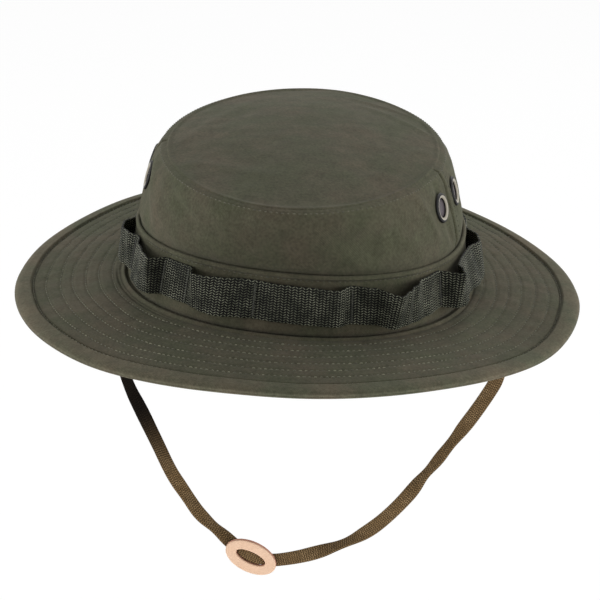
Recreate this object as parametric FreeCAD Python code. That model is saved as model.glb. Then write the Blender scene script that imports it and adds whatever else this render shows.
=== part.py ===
import FreeCAD, Part
import math
import os

# Boonie hat with chin strap, in millimetres.
# Origin: centre of the head opening, in the plane of the crown-to-brim seam.
# +Z points up through the crown, the front of the hat faces -Y, the wearer's left is +X.

# ---------------------------------------------------------------- crown
OPENING_HALF_WIDTH = 87.0        # outer face of the crown at the brim seam, across the head
OPENING_HALF_LENGTH = 101.4      # the same, from the centre to the forehead
OPENING_SQUARENESS = 2.09        # 2 is an ellipse, more is squarer
SEAM_LIFT = 2.9                  # the brim seam rises this much at front and back, and falls at the sides

BAND_TOP_HALF_WIDTH = 82.8       # raised seam where the band meets the side panels
BAND_TOP_HALF_LENGTH = 96.6
BAND_TOP_HEIGHT = 28.4           # mean height of the raised seam
BAND_TOP_LIFT = 3.5              # it too is higher at front and back

TOP_HALF_WIDTH = 69.0            # seam round the crown's top piece
TOP_HALF_LENGTH = 98.9
TOP_SQUARENESS = 1.96
TOP_SHIFT = -1.0                 # the top leans forward a little
TOP_SIDE_SHIFT = -1.4            # and to the wearer's right
TOP_SEAM_HEIGHT = 65.9
SHOULDER_DROP = 7.0              # the side wall stands fullest this far below the top seam
SHOULDER_FULLNESS = 3.2
SIDE_SEAM_SHIFT = -16.5          # the side seams lie this far along Y, forward of the middle
TOP_SEAM_FLAT = 4.0              # flat seam allowance round the top piece
DOME_HEIGHT = 9.0                # the top piece swells above its seam

CLOTH = 1.2                      # cotton twill with its turned and felled seams
LAYER_GAP = 0.15                 # air left between two layers of cloth
BAND_LIP = 1.0                   # the band's upper edge stands this far above the raised seam
SKIRT_DEPTH = 6.0                # side panels run this far down behind the band

# ---------------------------------------------------------------- brim
BRIM_WIDTH = 57.5                # from the crown seam to the outer edge, measured level
BRIM_SKEW = 0.8                  # wider by this much at the wearer's left, and narrower at the right
BORDER_WIDTH = 9.5               # puffed edge outside the last row of stitching
# How far the brim's edge lies below the seam plane, every 30 degrees from the
# wearer's left, by way of the back, right and front.
EDGE_DROOP = [6.5, 9.8, 8.5, 5.0, 8.6, 13.3, 13.7, 11.9, 8.9, 2.1, 0.8, 5.9]
BRIM_CLOTH = 1.0                 # upper and lower layer
INTERLINING = 0.8
BRIM_GAP = 0.1                   # air between the brim's layers
BORDER_PUFF = 0.5                # the border stands this much proud of the brim
GROOVE_DEPTH = 0.4               # the last row of stitching pulls the cloth in
GROOVE_WIDTH = 1.0

# ---------------------------------------------------------------- sweatband and webbing
SWEATBAND_HEIGHT = 24.0
SWEATBAND_HANG = 3.2             # its lower edge covers the brim's inner edge
WEBBING_HEIGHT = 18.5            # three-quarter inch nylon webbing, drawn in a little by its sewing
WEBBING_THICKNESS = 1.5
WEBBING_RISE = 6.8               # lower edge of the webbing above the brim seam
BARTACK_WIDTH = 1.6
BARTACK_THICKNESS = 0.6
BARTACK_MARGIN = 1.5             # bartacks stop this far inside the webbing's edges
BARTACK_SEAT = 0.1               # between the webbing's face and the bartack
LOOP_REACH = 14.0                # the deepest loop stands this far off the band, half-way up
# The webbing's run round the band: angle in degrees, and how far its lower and its upper
# edge stand off as shares of LOOP_REACH. Sewn points have shares of 0, and a loop bulges
# between two.
WEBBING_RUN = [
    (5, 0.56, 0.49), (9, 0.45, 0.42), (17, 0, 0), (25, 0.08, 0.1), (34, 0, 0), (45, 0.4, 0.6), (56, 0, 0),
    (66, 0.22, 0.35), (76, 0.3, 0.48), (87, 0, 0), (97, 0.25, 0.39), (107, 0.25, 0.39), (117, 0, 0),
    (126, 0.3, 0.48), (135, 0.6, 0.9), (147, 0, 0), (158, 0.3, 0.4), (166, 0.2, 0.25), (175, 0, 0), (190, 0, 0),
    (197, 0.34, 0.4), (202, 0.29, 0.46), (207, 0.09, 0.31), (212, 0, 0), (221, 0.28, 0.27), (229, 0.45, 0.5),
    (232, 0.41, 0.62), (235, 0, 0), (245, 0, 0), (249, 0.14, 0.53), (252, 0.3, 0.5), (256, 0.36, 0.29),
    (262, 0.11, 0.02), (266, 0, 0), (273, 0.09, 0.14), (281, 0.15, 0.23), (288, 0.28, 0.43), (293, 0, 0),
    (299, 0.17, 0.3), (303, 0.75, 1.25), (307, 0.6, 0.92), (311, 0.45, 0.58), (318, 0.24, 0.15), (328, 0, 0),
    (332, 0.55, 0.85), (335, 0.64, 0.62), (339, 0.55, 0.25), (344, 0.33, 0.15), (349, 0.33, 0.1),
    (357, 0.5, 0.15),
]

# ---------------------------------------------------------------- screened eyelets
EYELET_HEIGHT = 50.9             # centre of each eyelet above the seam plane
EYELET_FROM_SEAM = 14.1          # on each side of the side seam
EYELET_REACH = BAND_TOP_HALF_WIDTH * 0.9      # how far the wall is from the middle there
EYELET_BORE = 9.5
EYELET_WALL = 0.6
EYELET_FLANGE = 15.0
EYELET_FLANGE_THICKNESS = 0.8
EYELET_LIP = 0.7                 # rolled lip past the washer
WASHER_THICKNESS = 0.6
SCREEN_THICKNESS = 0.4
EYELET_FIT = 0.1                 # running clearance round the barrel and the screen
FLANGE_SEAT = 0.1                # the flange lies this far off the cloth
WASHER_SEAT = 0.6                # the flat washer clears the hollow inside of the wall

# ---------------------------------------------------------------- chin strap
STRAP_WIDTH = 8.0
STRAP_THICKNESS = 2.0
STRAP_END_THICKNESS = 1.2        # pressed flat where it is sewn in
STRAP_END_RISE = 12.0            # sewn length above the seam plane
STRAP_HINGE_DROP = 8.6           # the strap swings about a line this far below the seam plane
STRAP_GAP = 0.35                 # between the sewn end and the swinging strap
NOTCH_GAP = 0.3                  # brim layers stop this far short of the sewn end
# Centre line of the strap below its hinge line, as x and z, from the wearer's
# right (-X) to the left. Its first and last points lie on the hinge line.
STRAP_ROUTE = [
    (-85.0, -8.6), (-90.0, -40.0), (-92.5, -73.0), (-73.5, -103.0), (-57.5, -135.0), (-38.5, -159.0),
    (-9.5, -173.0), (8.5, -168.5), (35.5, -158.5), (57.6, -136.4), (81.2, -100.4), (100.5, -65.0),
    (110.0, -44.0), (101.0, -22.5), (85.0, -8.6),
]

# ---------------------------------------------------------------- keeper
KEEPER_CENTRE = (-15.0, -169.6)  # x and z of the keeper on the strap
KEEPER_TILT = 20.0               # degrees, down towards +X
KEEPER_LENGTH = 29.0
KEEPER_WIDTH = 18.0
KEEPER_THICKNESS = 3.0
KEEPER_EDGE = 0.8                # rounded edge of the leather
SLOT_LENGTH = 17.0
SLOT_WIDTH = 6.8
KEEPER_GAP = 0.35                # between the keeper's back and the strap
BIGHT_GAP = 0.3                  # round the fold of strap that stands in the slot

STATIONS = 48                    # points on each closed seam curve
WEBBING_STATIONS = 360           # one for each degree, so the sewn points lie on the curve
LOWER_EDGE, UPPER_EDGE = 1, 2    # their places in each point of WEBBING_RUN
PART_FOLDER = "parts"


# ================================================================ curves
def radial(angle, half_width, half_length, squareness, side_shift=0.0, shift=0.0):
    """Point and outward normal of a rounded-off oval, at an angle about its centre."""
    c, s = math.cos(angle), math.sin(angle)
    reach = (abs(c / half_width) ** squareness + abs(s / half_length) ** squareness) ** (-1 / squareness)
    x, y = reach * c, reach * s
    nx = math.copysign(abs(x / half_width) ** (squareness - 1), x) / half_width
    ny = math.copysign(abs(y / half_length) ** (squareness - 1), y) / half_length
    size = math.hypot(nx, ny)
    return x + side_shift, y + shift, nx / size, ny / size


def lifted(angle, mean, lift):
    """Height that is mean + lift at front and back, and mean - lift at the sides."""
    return mean - lift * math.cos(2 * angle)


def smooth_round(angle, values):
    """Smooth closed curve through values spaced evenly round the circle."""
    count = len(values)
    place = (angle / (2 * math.pi) * count) % count
    i = int(place)
    f = place - i
    a, b, c, d = (values[(i + k) % count] for k in (-1, 0, 1, 2))
    return 0.5 * (2 * b + (c - a) * f + (2 * a - 5 * b + 4 * c - d) * f ** 2 + (3 * b - a - 3 * c + d) * f ** 3)


def seam_point(angle, out=0.0, up=0.0):
    """Point beside the crown-to-brim seam: out is level and outward, up is along Z."""
    x, y, nx, ny = radial(angle, OPENING_HALF_WIDTH, OPENING_HALF_LENGTH, OPENING_SQUARENESS)
    return FreeCAD.Vector(x + nx * out, y + ny * out, lifted(angle, 0.0, SEAM_LIFT) + up)


def band_top_point(angle, out=0.0, up=0.0):
    """Point beside the raised seam at the top of the band."""
    x, y, nx, ny = radial(angle, BAND_TOP_HALF_WIDTH, BAND_TOP_HALF_LENGTH, OPENING_SQUARENESS)
    return FreeCAD.Vector(x + nx * out, y + ny * out, lifted(angle, BAND_TOP_HEIGHT, BAND_TOP_LIFT) + up)


def band_point(angle, above_seam, out=0.0):
    """Point on the band's slope, above_seam over the brim seam and out from the face."""
    low, high = seam_point(angle, out), band_top_point(angle, out)
    share = above_seam / (high.z - low.z)
    return low + (high - low) * share


def top_point(angle, inward=0.0, up=0.0):
    """Point beside the seam of the crown's top piece."""
    x, y, nx, ny = radial(angle, TOP_HALF_WIDTH, TOP_HALF_LENGTH, TOP_SQUARENESS, TOP_SIDE_SHIFT, TOP_SHIFT)
    return FreeCAD.Vector(x - nx * inward, y - ny * inward, TOP_SEAM_HEIGHT + up)


def wall_point(angle, share, out=0.0):
    """Point on the crown's side wall: share is 0 at the raised seam and 1 at the top seam."""
    low, high = band_top_point(angle, out), top_point(angle, -out)
    point = low + (high - low) * share
    shoulder = 1 - SHOULDER_DROP / (TOP_SEAM_HEIGHT - BAND_TOP_HEIGHT)
    if share < shoulder:
        fullness = SHOULDER_FULLNESS * math.sin(math.pi / 2 * share / shoulder)
    else:
        fullness = SHOULDER_FULLNESS * math.cos(math.pi / 2 * (share - shoulder) / (1 - shoulder))
    x, y, nx, ny = radial(angle, BAND_TOP_HALF_WIDTH, BAND_TOP_HALF_LENGTH, OPENING_SQUARENESS)
    return point + FreeCAD.Vector(nx, ny, 0) * fullness


def brim_point(angle, out, up=0.0):
    """Point on the brim, out from the crown seam, up from its upper face; level inside the seam."""
    x, y, nx, ny = radial(angle, OPENING_HALF_WIDTH, OPENING_HALF_LENGTH, OPENING_SQUARENESS)
    seam_height = lifted(angle, 0.0, SEAM_LIFT) - LAYER_GAP
    slope = -(smooth_round(angle, EDGE_DROOP) + seam_height) / BRIM_WIDTH
    past = max(out, 0.0)
    side = out + past * BRIM_SKEW / BRIM_WIDTH * math.cos(angle)
    return FreeCAD.Vector(x + nx * side, y + ny * side, seam_height + slope * past + up)


# ================================================================ solids
def closed_edge(function, stations=STATIONS):
    """Smooth closed edge through function(angle) at evenly spaced angles."""
    points = [function(2 * math.pi * i / stations) for i in range(stations)]
    curve = Part.BSplineCurve()
    curve.interpolate(Points=points, PeriodicFlag=True, Parameters=[float(i) for i in range(stations + 1)])
    return curve.toShape()


def solid_of(faces):
    """One closed solid from faces that meet edge to edge."""
    shell = Part.Shell(faces)
    solid = Part.Solid(shell)
    if solid.Volume < 0:
        solid.reverse()
    return solid


def ring(functions, stations=STATIONS):
    """Ring whose cross-section has one corner for each function of the angle."""
    edges = [closed_edge(f, stations) for f in functions]
    return solid_of([Part.makeRuledSurface(a, b) for a, b in zip(edges, edges[1:] + edges[:1])])


def dome(functions):
    """Lens-shaped solid: the first and last function are level ovals that close it."""
    edges = [closed_edge(f) for f in functions]
    faces = [Part.makeRuledSurface(a, b) for a, b in zip(edges, edges[1:])]
    faces += [Part.Face(Part.Wire([edges[0]])), Part.Face(Part.Wire([edges[-1]]))]
    return solid_of(faces)


def half_space(y_sign, gap):
    """Large block on one side of the side seams."""
    size = 4 * OPENING_HALF_LENGTH
    start = SIDE_SEAM_SHIFT + (gap / 2 if y_sign > 0 else -gap / 2 - size)
    return Part.makeBox(2 * size, size, size, FreeCAD.Vector(-size, start, -size / 2))


def turned(profile, place, direction):
    """Solid of revolution from (radius, height) corners, set at place along direction."""
    points = [FreeCAD.Vector(r, 0, h) for r, h in profile]
    face = Part.Face(Part.makePolygon(points + points[:1]))
    solid = face.revolve(FreeCAD.Vector(0, 0, 0), FreeCAD.Vector(0, 0, 1), 360)
    turn = FreeCAD.Rotation(FreeCAD.Vector(0, 0, 1), direction)
    solid.Placement = FreeCAD.Placement(place, turn)
    return solid


# ================================================================ crown
def crown_top():
    """Oval top piece: a flat seam allowance, then a low dome."""
    def inner(scale, up):
        def point(angle):
            rim = top_point(angle, TOP_SEAM_FLAT)
            middle = FreeCAD.Vector(TOP_SIDE_SHIFT, TOP_SHIFT, rim.z)
            height = DOME_HEIGHT * (1 - scale ** 2)
            return middle + (rim - middle) * scale + FreeCAD.Vector(0, 0, height + up)
        return point
    scales = (0.12, 0.35, 0.6, 0.82, 1.0)
    upper = [inner(s, 0) for s in scales] + [lambda a: top_point(a)]
    lower = [lambda a: top_point(a, 0, -CLOTH)] + [inner(s, -CLOTH) for s in reversed(scales)]
    return dome(upper + lower)


def crown_side_ring():
    """The whole side wall, with the skirt that runs down behind the band."""
    step = -(CLOTH + LAYER_GAP)
    top_end = top_point(0).z - CLOTH
    foot = (BAND_LIP + LAYER_GAP + CLOTH) / (TOP_SEAM_HEIGHT - BAND_TOP_HEIGHT)
    shares = (foot, 0.25, 0.5, 0.75, 0.88)

    def behind_band(above_raised_seam, out):
        return lambda a: band_point(a, band_top_point(a).z - seam_point(a).z + above_raised_seam, out)

    def wall(share, out):
        return lambda a: wall_point(a, share, out)

    def rim(inward):
        return lambda a: top_point(a, inward, top_end - TOP_SEAM_HEIGHT)

    neck = BAND_LIP + LAYER_GAP
    outer = [behind_band(-SKIRT_DEPTH, step), behind_band(neck, step)]
    outer += [wall(s, 0) for s in shares] + [rim(0)]
    inner = [rim(CLOTH)] + [wall(s, -CLOTH) for s in reversed(shares)]
    inner += [behind_band(neck, step - CLOTH), behind_band(-SKIRT_DEPTH, step - CLOTH)]
    return ring(outer + inner)


def eyelet_places():
    """Name, centre on the wall's outer face and outward direction of each eyelet."""
    places = []
    for side, side_name in ((1, "left"), (-1, "right")):
        for end, end_name in ((-1, "front"), (1, "back")):
            angle = math.atan2(SIDE_SEAM_SHIFT + end * EYELET_FROM_SEAM, side * EYELET_REACH)
            low, high = band_top_point(angle), top_point(angle)
            share = (EYELET_HEIGHT - low.z) / (high.z - low.z)
            point = wall_point(angle, share)
            along = wall_point(angle + 0.02, share) - wall_point(angle - 0.02, share)
            up = wall_point(angle, share + 0.02) - wall_point(angle, share - 0.02)
            places.append((end_name + "_" + side_name, point, along.cross(up).normalize()))
    return places


def crown_sides(ring_solid, places):
    """Front and back panels, cut at the side seams and bored for the eyelets."""
    hole = EYELET_BORE / 2 + EYELET_WALL + EYELET_FIT
    depth = 6 * CLOTH
    for name, point, outward in places:
        ring_solid = ring_solid.cut(Part.makeCylinder(hole, 2 * depth, point - outward * depth, outward))
    front = ring_solid.common(half_space(-1, LAYER_GAP))
    back = ring_solid.common(half_space(1, LAYER_GAP))
    return front, back


def crown_band():
    """Band between the brim seam and the raised seam, which laps over the side panels."""
    return ring([
        lambda a: seam_point(a), lambda a: band_top_point(a), lambda a: band_top_point(a, 0, BAND_LIP),
        lambda a: band_top_point(a, -CLOTH, BAND_LIP), lambda a: band_top_point(a, -CLOTH),
        lambda a: seam_point(a, -CLOTH)])


# ================================================================ brim
BRIM_STACK = 2 * BRIM_CLOTH + INTERLINING + 2 * BRIM_GAP
BRIM_INNER = -(2 * CLOTH + LAYER_GAP)      # the brim's layers reach in under the band and skirt
BORDER_START = BRIM_WIDTH - BORDER_WIDTH


def brim_skin(upward):
    """Corners (out, up) of the upper layer, with its puffed border, seen in section."""
    middle = BRIM_STACK / 2 - BRIM_GAP / 2     # depth of the border's own inner face
    profile = [
        (BRIM_INNER, 0), (0, 0), (BORDER_START / 2, 0), (BORDER_START - GROOVE_WIDTH / 2, 0),
        (BORDER_START, -GROOVE_DEPTH), (BORDER_START + BORDER_WIDTH * 0.2, BORDER_PUFF * 0.6),
        (BORDER_START + BORDER_WIDTH * 0.5, BORDER_PUFF), (BORDER_START + BORDER_WIDTH * 0.82, 0),
        (BRIM_WIDTH - BORDER_WIDTH * 0.04, -middle / 2), (BRIM_WIDTH, -middle),
        (BORDER_START, -middle), (BORDER_START - GROOVE_WIDTH / 2, -BRIM_CLOTH),
        (BORDER_START / 2, -BRIM_CLOTH), (0, -BRIM_CLOTH), (BRIM_INNER, -BRIM_CLOTH)]
    if upward:
        return profile
    return [(out, -BRIM_STACK - up) for out, up in profile]


def brim_ring(profile):
    """Brim layer with the given section all the way round."""
    return ring([lambda a, out=out, up=up: brim_point(a, out, up) for out, up in profile])


def brim_interlining():
    """Stiff layer between the two skins, from the crown seam to the border."""
    top = -(BRIM_CLOTH + BRIM_GAP)
    end = BORDER_START - GROOVE_WIDTH
    corners = [(BRIM_INNER, top), (0, top), (end / 2, top), (end, top)]
    corners += [(out, up - INTERLINING) for out, up in reversed(corners)]
    return brim_ring(corners)


def strap_end(side):
    """Sewn end of the strap, standing in the seam between the band and the sweatband."""
    angle = 0 if side > 0 else math.pi
    seam = seam_point(angle).z
    low = -STRAP_HINGE_DROP + STRAP_THICKNESS / 2 + STRAP_GAP - seam
    high = STRAP_END_RISE - seam
    outer = -(CLOTH + LAYER_GAP)
    inner = outer - STRAP_END_THICKNESS
    corners = [band_point(angle, h, out) for h, out in ((low, outer), (high, outer), (high, inner), (low, inner))]
    start = FreeCAD.Vector(0, -STRAP_WIDTH / 2, 0)
    face = Part.Face(Part.makePolygon([corner + start for corner in corners + corners[:1]]))
    return face.extrude(FreeCAD.Vector(0, STRAP_WIDTH, 0))


def notched(layer):
    """Brim layer with room at each side for the sewn strap ends."""
    width = STRAP_WIDTH + 2 * NOTCH_GAP
    for side in (1, -1):
        box = strap_end(side).BoundBox
        outer = max(abs(box.XMin), abs(box.XMax)) + NOTCH_GAP
        inner = OPENING_HALF_WIDTH + 2 * BRIM_INNER
        start = inner if side > 0 else -outer
        low = FreeCAD.Vector(start, -width / 2, -OPENING_HALF_WIDTH / 2)
        layer = layer.cut(Part.makeBox(outer - inner, width, OPENING_HALF_WIDTH, low))
    return layer


def sweatband():
    """Cloth band inside the opening; it hangs plumb over the brim's inner edge."""
    face = -(2 * CLOTH + 2 * LAYER_GAP)
    back = face - CLOTH
    high = SWEATBAND_HEIGHT - SWEATBAND_HANG
    return ring([
        lambda a: seam_point(a, face, -SWEATBAND_HANG), lambda a: seam_point(a, face),
        lambda a: band_point(a, high, face), lambda a: band_point(a, high, back),
        lambda a: seam_point(a, back), lambda a: seam_point(a, back, -SWEATBAND_HANG)])


# ================================================================ webbing
def webbing_stand_off(angle, edge):
    """How far an edge of the webbing stands off the band, from its sewn points and bulges."""
    degrees = math.degrees(angle) % 360
    run = WEBBING_RUN
    following = next((i for i, point in enumerate(run) if point[0] > degrees), len(run))
    before, after = run[following - 1], run[following % len(run)]
    width = (after[0] - before[0]) % 360
    share = ((degrees - before[0]) % 360) / width
    ease = (1 - math.cos(math.pi * share)) / 2
    return (before[edge] + (after[edge] - before[edge]) * ease) * LOOP_REACH


def webbing_line(edge, extra):
    """Line along the webbing's lower or upper edge, extra off its inner face."""
    above_seam = WEBBING_RISE if edge == LOWER_EDGE else WEBBING_RISE + WEBBING_HEIGHT
    return lambda a: band_point(a, above_seam, LAYER_GAP + webbing_stand_off(a, edge) + extra)


def branch_loop_webbing():
    """Nylon webbing sewn flat to the band at intervals and bulging into loops between."""
    return ring([
        webbing_line(LOWER_EDGE, 0), webbing_line(LOWER_EDGE, WEBBING_THICKNESS),
        webbing_line(UPPER_EDGE, WEBBING_THICKNESS), webbing_line(UPPER_EDGE, 0)], WEBBING_STATIONS)


def sewn_angles():
    """Angles at which the webbing is sewn down to the band."""
    return [math.radians(at) for at, lower, upper in WEBBING_RUN if lower == upper == 0]


def webbing_bartacks():
    """One upright bartack on the webbing's face at each sewn point."""
    tacks = []
    low = WEBBING_RISE + BARTACK_MARGIN
    high = WEBBING_RISE + WEBBING_HEIGHT - BARTACK_MARGIN
    spread = BARTACK_WIDTH / 2 / OPENING_HALF_WIDTH
    for angle in sewn_angles():
        beside = [angle - spread, angle + spread]
        rise = max(webbing_stand_off(a, edge) for a in beside for edge in (LOWER_EDGE, UPPER_EDGE))
        face = LAYER_GAP + WEBBING_THICKNESS + BARTACK_SEAT + rise
        foot, head = band_point(angle, low, face), band_point(angle, high, face)
        x, y, nx, ny = radial(angle, OPENING_HALF_WIDTH, OPENING_HALF_LENGTH, OPENING_SQUARENESS)
        outward = FreeCAD.Vector(nx, ny, 0)
        side = FreeCAD.Vector(-ny, nx, 0) * (BARTACK_WIDTH / 2)
        base = Part.Face(Part.makePolygon([foot - side, foot + side, head + side, head - side, foot - side]))
        tacks.append(base.extrude(outward * BARTACK_THICKNESS))
    return Part.makeCompound(tacks)


# ================================================================ eyelets
def eyelet(place, outward):
    """Flanged barrel through the wall, with its inner end rolled over the washer."""
    bore = EYELET_BORE / 2
    barrel = bore + EYELET_WALL
    flange = EYELET_FLANGE / 2
    face = FLANGE_SEAT
    inner_end = -(CLOTH + WASHER_SEAT + WASHER_THICKNESS + EYELET_FIT + EYELET_LIP)
    lip = inner_end + EYELET_LIP
    profile = [
        (bore, inner_end), (barrel + EYELET_LIP, inner_end), (barrel + EYELET_LIP, lip), (barrel, lip),
        (barrel, face), (flange, face), (flange, face + EYELET_FLANGE_THICKNESS / 2),
        (flange - EYELET_FLANGE_THICKNESS, face + EYELET_FLANGE_THICKNESS),
        (bore + EYELET_FLANGE_THICKNESS, face + EYELET_FLANGE_THICKNESS),
        (bore, face + EYELET_FLANGE_THICKNESS / 2)]
    return turned(profile, place, outward)


def eyelet_washer(place, outward):
    """Flat washer on the inside of the wall."""
    inner = EYELET_BORE / 2 + EYELET_WALL + EYELET_FIT
    top = -(CLOTH + WASHER_SEAT)
    low = top - WASHER_THICKNESS
    return turned([(inner, low), (EYELET_FLANGE / 2, low), (EYELET_FLANGE / 2, top), (inner, top)], place, outward)


def eyelet_screen(place, outward):
    """Mesh disc held inside the barrel."""
    radius = EYELET_BORE / 2 - EYELET_FIT
    low = -CLOTH / 2
    return turned([(0, low), (radius, low), (radius, low + SCREEN_THICKNESS), (0, low + SCREEN_THICKNESS)],
                  place, outward)


# ================================================================ chin strap
def rounded_route(points):
    """Straight runs joined by arcs as large as each pair of runs allows; prints their radii."""
    corners = [FreeCAD.Vector(x, 0, z) for x, z in points]
    edges, radii, start = [], [], corners[0]
    for before, corner, after in zip(corners, corners[1:], corners[2:]):
        arrive = (corner - before).normalize()
        leave = (after - corner).normalize()
        turn = arrive.getAngle(leave)
        setback = 0.45 * min((corner - before).Length, (after - corner).Length)
        radii.append(setback / math.tan(turn / 2))
        first, last = corner - arrive * setback, corner + leave * setback
        inward = (leave - arrive).normalize()
        to_centre = radii[-1] / math.cos(turn / 2)
        middle = corner + inward * (to_centre - radii[-1])
        edges += [Part.LineSegment(start, first).toShape(), Part.Arc(first, middle, last).toShape()]
        start = last
    edges.append(Part.LineSegment(start, corners[-1]).toShape())
    print("strap radii, mm:", [round(r) for r in radii])
    return Part.Wire(edges)


def flat_strip(path, width, thickness):
    """Strip along a path in the XZ plane: its width lies in that plane, its thickness along Y."""
    start = path.Edges[0]
    direction = start.tangentAt(start.FirstParameter)
    across = direction.cross(FreeCAD.Vector(0, 1, 0)).normalize() * (width / 2)
    out = FreeCAD.Vector(0, thickness / 2, 0)
    origin = start.valueAt(start.FirstParameter)
    corners = [origin + across + out, origin - across + out, origin - across - out, origin + across - out]
    section = Part.makePolygon(corners + corners[:1])
    return path.makePipeShell([section], True, False)


def strap_top(first, second):
    """Half width along X of the strap's level upper end, and a point past that end."""
    run = FreeCAD.Vector(second[0] - first[0], 0, second[1] - first[1]).normalize()
    half = STRAP_WIDTH / 2 / abs(run.z)
    past = FreeCAD.Vector(first[0], 0, first[1]) - run * (half * abs(run.x) + STRAP_THICKNESS)
    return half, (past.x, past.z)


def chin_strap():
    """The free strap, with its two upper ends rounded about the line they swing on."""
    left_half, left_past = strap_top(STRAP_ROUTE[-1], STRAP_ROUTE[-2])
    right_half, right_past = strap_top(STRAP_ROUTE[0], STRAP_ROUTE[1])
    path = rounded_route([right_past] + STRAP_ROUTE[1:-1] + [left_past])
    strip = flat_strip(path, STRAP_WIDTH, STRAP_THICKNESS)
    print("strap volume share:", round(strip.Volume / (path.Length * STRAP_WIDTH * STRAP_THICKNESS), 4))
    reach = 4 * OPENING_HALF_LENGTH
    low = FreeCAD.Vector(-reach, -reach, -2 * reach - STRAP_HINGE_DROP)
    strip = strip.common(Part.makeBox(2 * reach, 2 * reach, 2 * reach, low))
    print("strap length, mm:", round(strip.Volume / (STRAP_WIDTH * STRAP_THICKNESS), 1))
    for half, (x, z) in ((right_half, STRAP_ROUTE[0]), (left_half, STRAP_ROUTE[-1])):
        start = FreeCAD.Vector(x - half, 0, z)
        strip = strip.fuse(Part.makeCylinder(STRAP_THICKNESS / 2, 2 * half, start, FreeCAD.Vector(1, 0, 0)))
    return strip.removeSplitter()


def keeper_frame():
    """Placement of the keeper: its length along X turned down by the tilt, its face to -Y."""
    x, z = KEEPER_CENTRE
    y = -(STRAP_THICKNESS / 2 + KEEPER_GAP)
    turn = FreeCAD.Rotation(FreeCAD.Vector(0, 1, 0), KEEPER_TILT)
    return FreeCAD.Placement(FreeCAD.Vector(x, y, z), turn)


def oval_block(length, width, thickness, start):
    """Oval plate in the XZ plane, from start towards -Y."""
    ellipse = Part.Ellipse(FreeCAD.Vector(0, start, 0), length / 2, width / 2)
    ellipse.Axis = FreeCAD.Vector(0, -1, 0)
    ellipse.XAxis = FreeCAD.Vector(1, 0, 0)
    return Part.Face(Part.Wire(ellipse.toShape())).extrude(FreeCAD.Vector(0, -thickness, 0))


def strap_keeper():
    """Leather oval with a long slot."""
    body = oval_block(KEEPER_LENGTH, KEEPER_WIDTH, KEEPER_THICKNESS, 0)
    body = body.makeFillet(KEEPER_EDGE, body.Edges)
    body = body.cut(oval_block(SLOT_LENGTH, SLOT_WIDTH, 3 * KEEPER_THICKNESS, KEEPER_THICKNESS))
    body.Placement = keeper_frame()
    return body


def strap_bight():
    """Fold of the strap that stands in the keeper's slot and travels with it."""
    length, width = SLOT_LENGTH - 2 * BIGHT_GAP, SLOT_WIDTH - 2 * BIGHT_GAP
    fold = oval_block(length, width, KEEPER_THICKNESS, 0)
    fold.Placement = keeper_frame()
    return fold


# ================================================================ parts
def build():
    places = eyelet_places()
    front, back = crown_sides(crown_side_ring(), places)
    parts = {
        "crown_top": crown_top(),
        "crown_side_front": front,
        "crown_side_back": back,
        "crown_band": crown_band(),
        "brim_upper": notched(brim_ring(brim_skin(True))),
        "brim_interlining": notched(brim_interlining()),
        "brim_lower": notched(brim_ring(brim_skin(False))),
        "sweatband": sweatband(),
        "branch_loop_webbing": branch_loop_webbing(),
        "webbing_bartacks": webbing_bartacks(),
        "strap_end_left": strap_end(1),
        "strap_end_right": strap_end(-1),
        "chin_strap": chin_strap(),
        "strap_keeper": strap_keeper(),
        "strap_bight": strap_bight(),
    }
    for name, point, outward in places:
        parts["eyelet_" + name] = eyelet(point, outward)
        parts["eyelet_washer_" + name] = eyelet_washer(point, outward)
        parts["eyelet_screen_" + name] = eyelet_screen(point, outward)
    os.makedirs(PART_FOLDER, exist_ok=True)
    for name, shape in parts.items():
        box = shape.BoundBox
        print("%-28s solids %2d valid %s volume %9.1f  x %.1f..%.1f y %.1f..%.1f z %.1f..%.1f" % (
            name, len(shape.Solids), shape.isValid(), shape.Volume,
            box.XMin, box.XMax, box.YMin, box.YMax, box.ZMin, box.ZMax))
        shape.exportStep(PART_FOLDER + "/" + name + ".step")
    return parts


PARTS = build()
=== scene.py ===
# %% [markdown]
# # A boonie hat
# A boonie hat is a soft bush hat: an oval top piece and two side panels make the crown, a band
# closes it, and a stiffly stitched brim goes round. Webbing loops, four screened eyelets and a
# chin strap finish it. The lesson builds each sewn piece as one surface worked out with numpy.

# %% Load the frame
import bpy
import bmesh
import math
import numpy as np
from mathutils import Matrix, Vector


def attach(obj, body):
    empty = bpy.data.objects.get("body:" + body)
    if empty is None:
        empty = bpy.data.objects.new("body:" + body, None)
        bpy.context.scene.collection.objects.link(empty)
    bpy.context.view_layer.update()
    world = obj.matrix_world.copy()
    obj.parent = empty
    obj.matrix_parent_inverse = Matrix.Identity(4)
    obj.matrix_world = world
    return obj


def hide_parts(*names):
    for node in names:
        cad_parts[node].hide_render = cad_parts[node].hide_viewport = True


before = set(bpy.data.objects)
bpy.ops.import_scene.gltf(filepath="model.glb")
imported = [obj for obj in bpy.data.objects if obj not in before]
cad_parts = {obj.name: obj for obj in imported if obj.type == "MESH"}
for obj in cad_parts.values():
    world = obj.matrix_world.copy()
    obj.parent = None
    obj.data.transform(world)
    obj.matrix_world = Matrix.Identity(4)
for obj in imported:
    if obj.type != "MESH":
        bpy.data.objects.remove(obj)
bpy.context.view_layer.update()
print("nodes:", len(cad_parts))

# %% [markdown]
# ## Measures
# A hat is cut to a head size, so everything follows from the oval of the head opening. The
# values are in millimetres, in the frame of the solids: the origin is the centre of the
# opening, +Z goes up through the crown and the front of the hat faces -Y.

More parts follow.
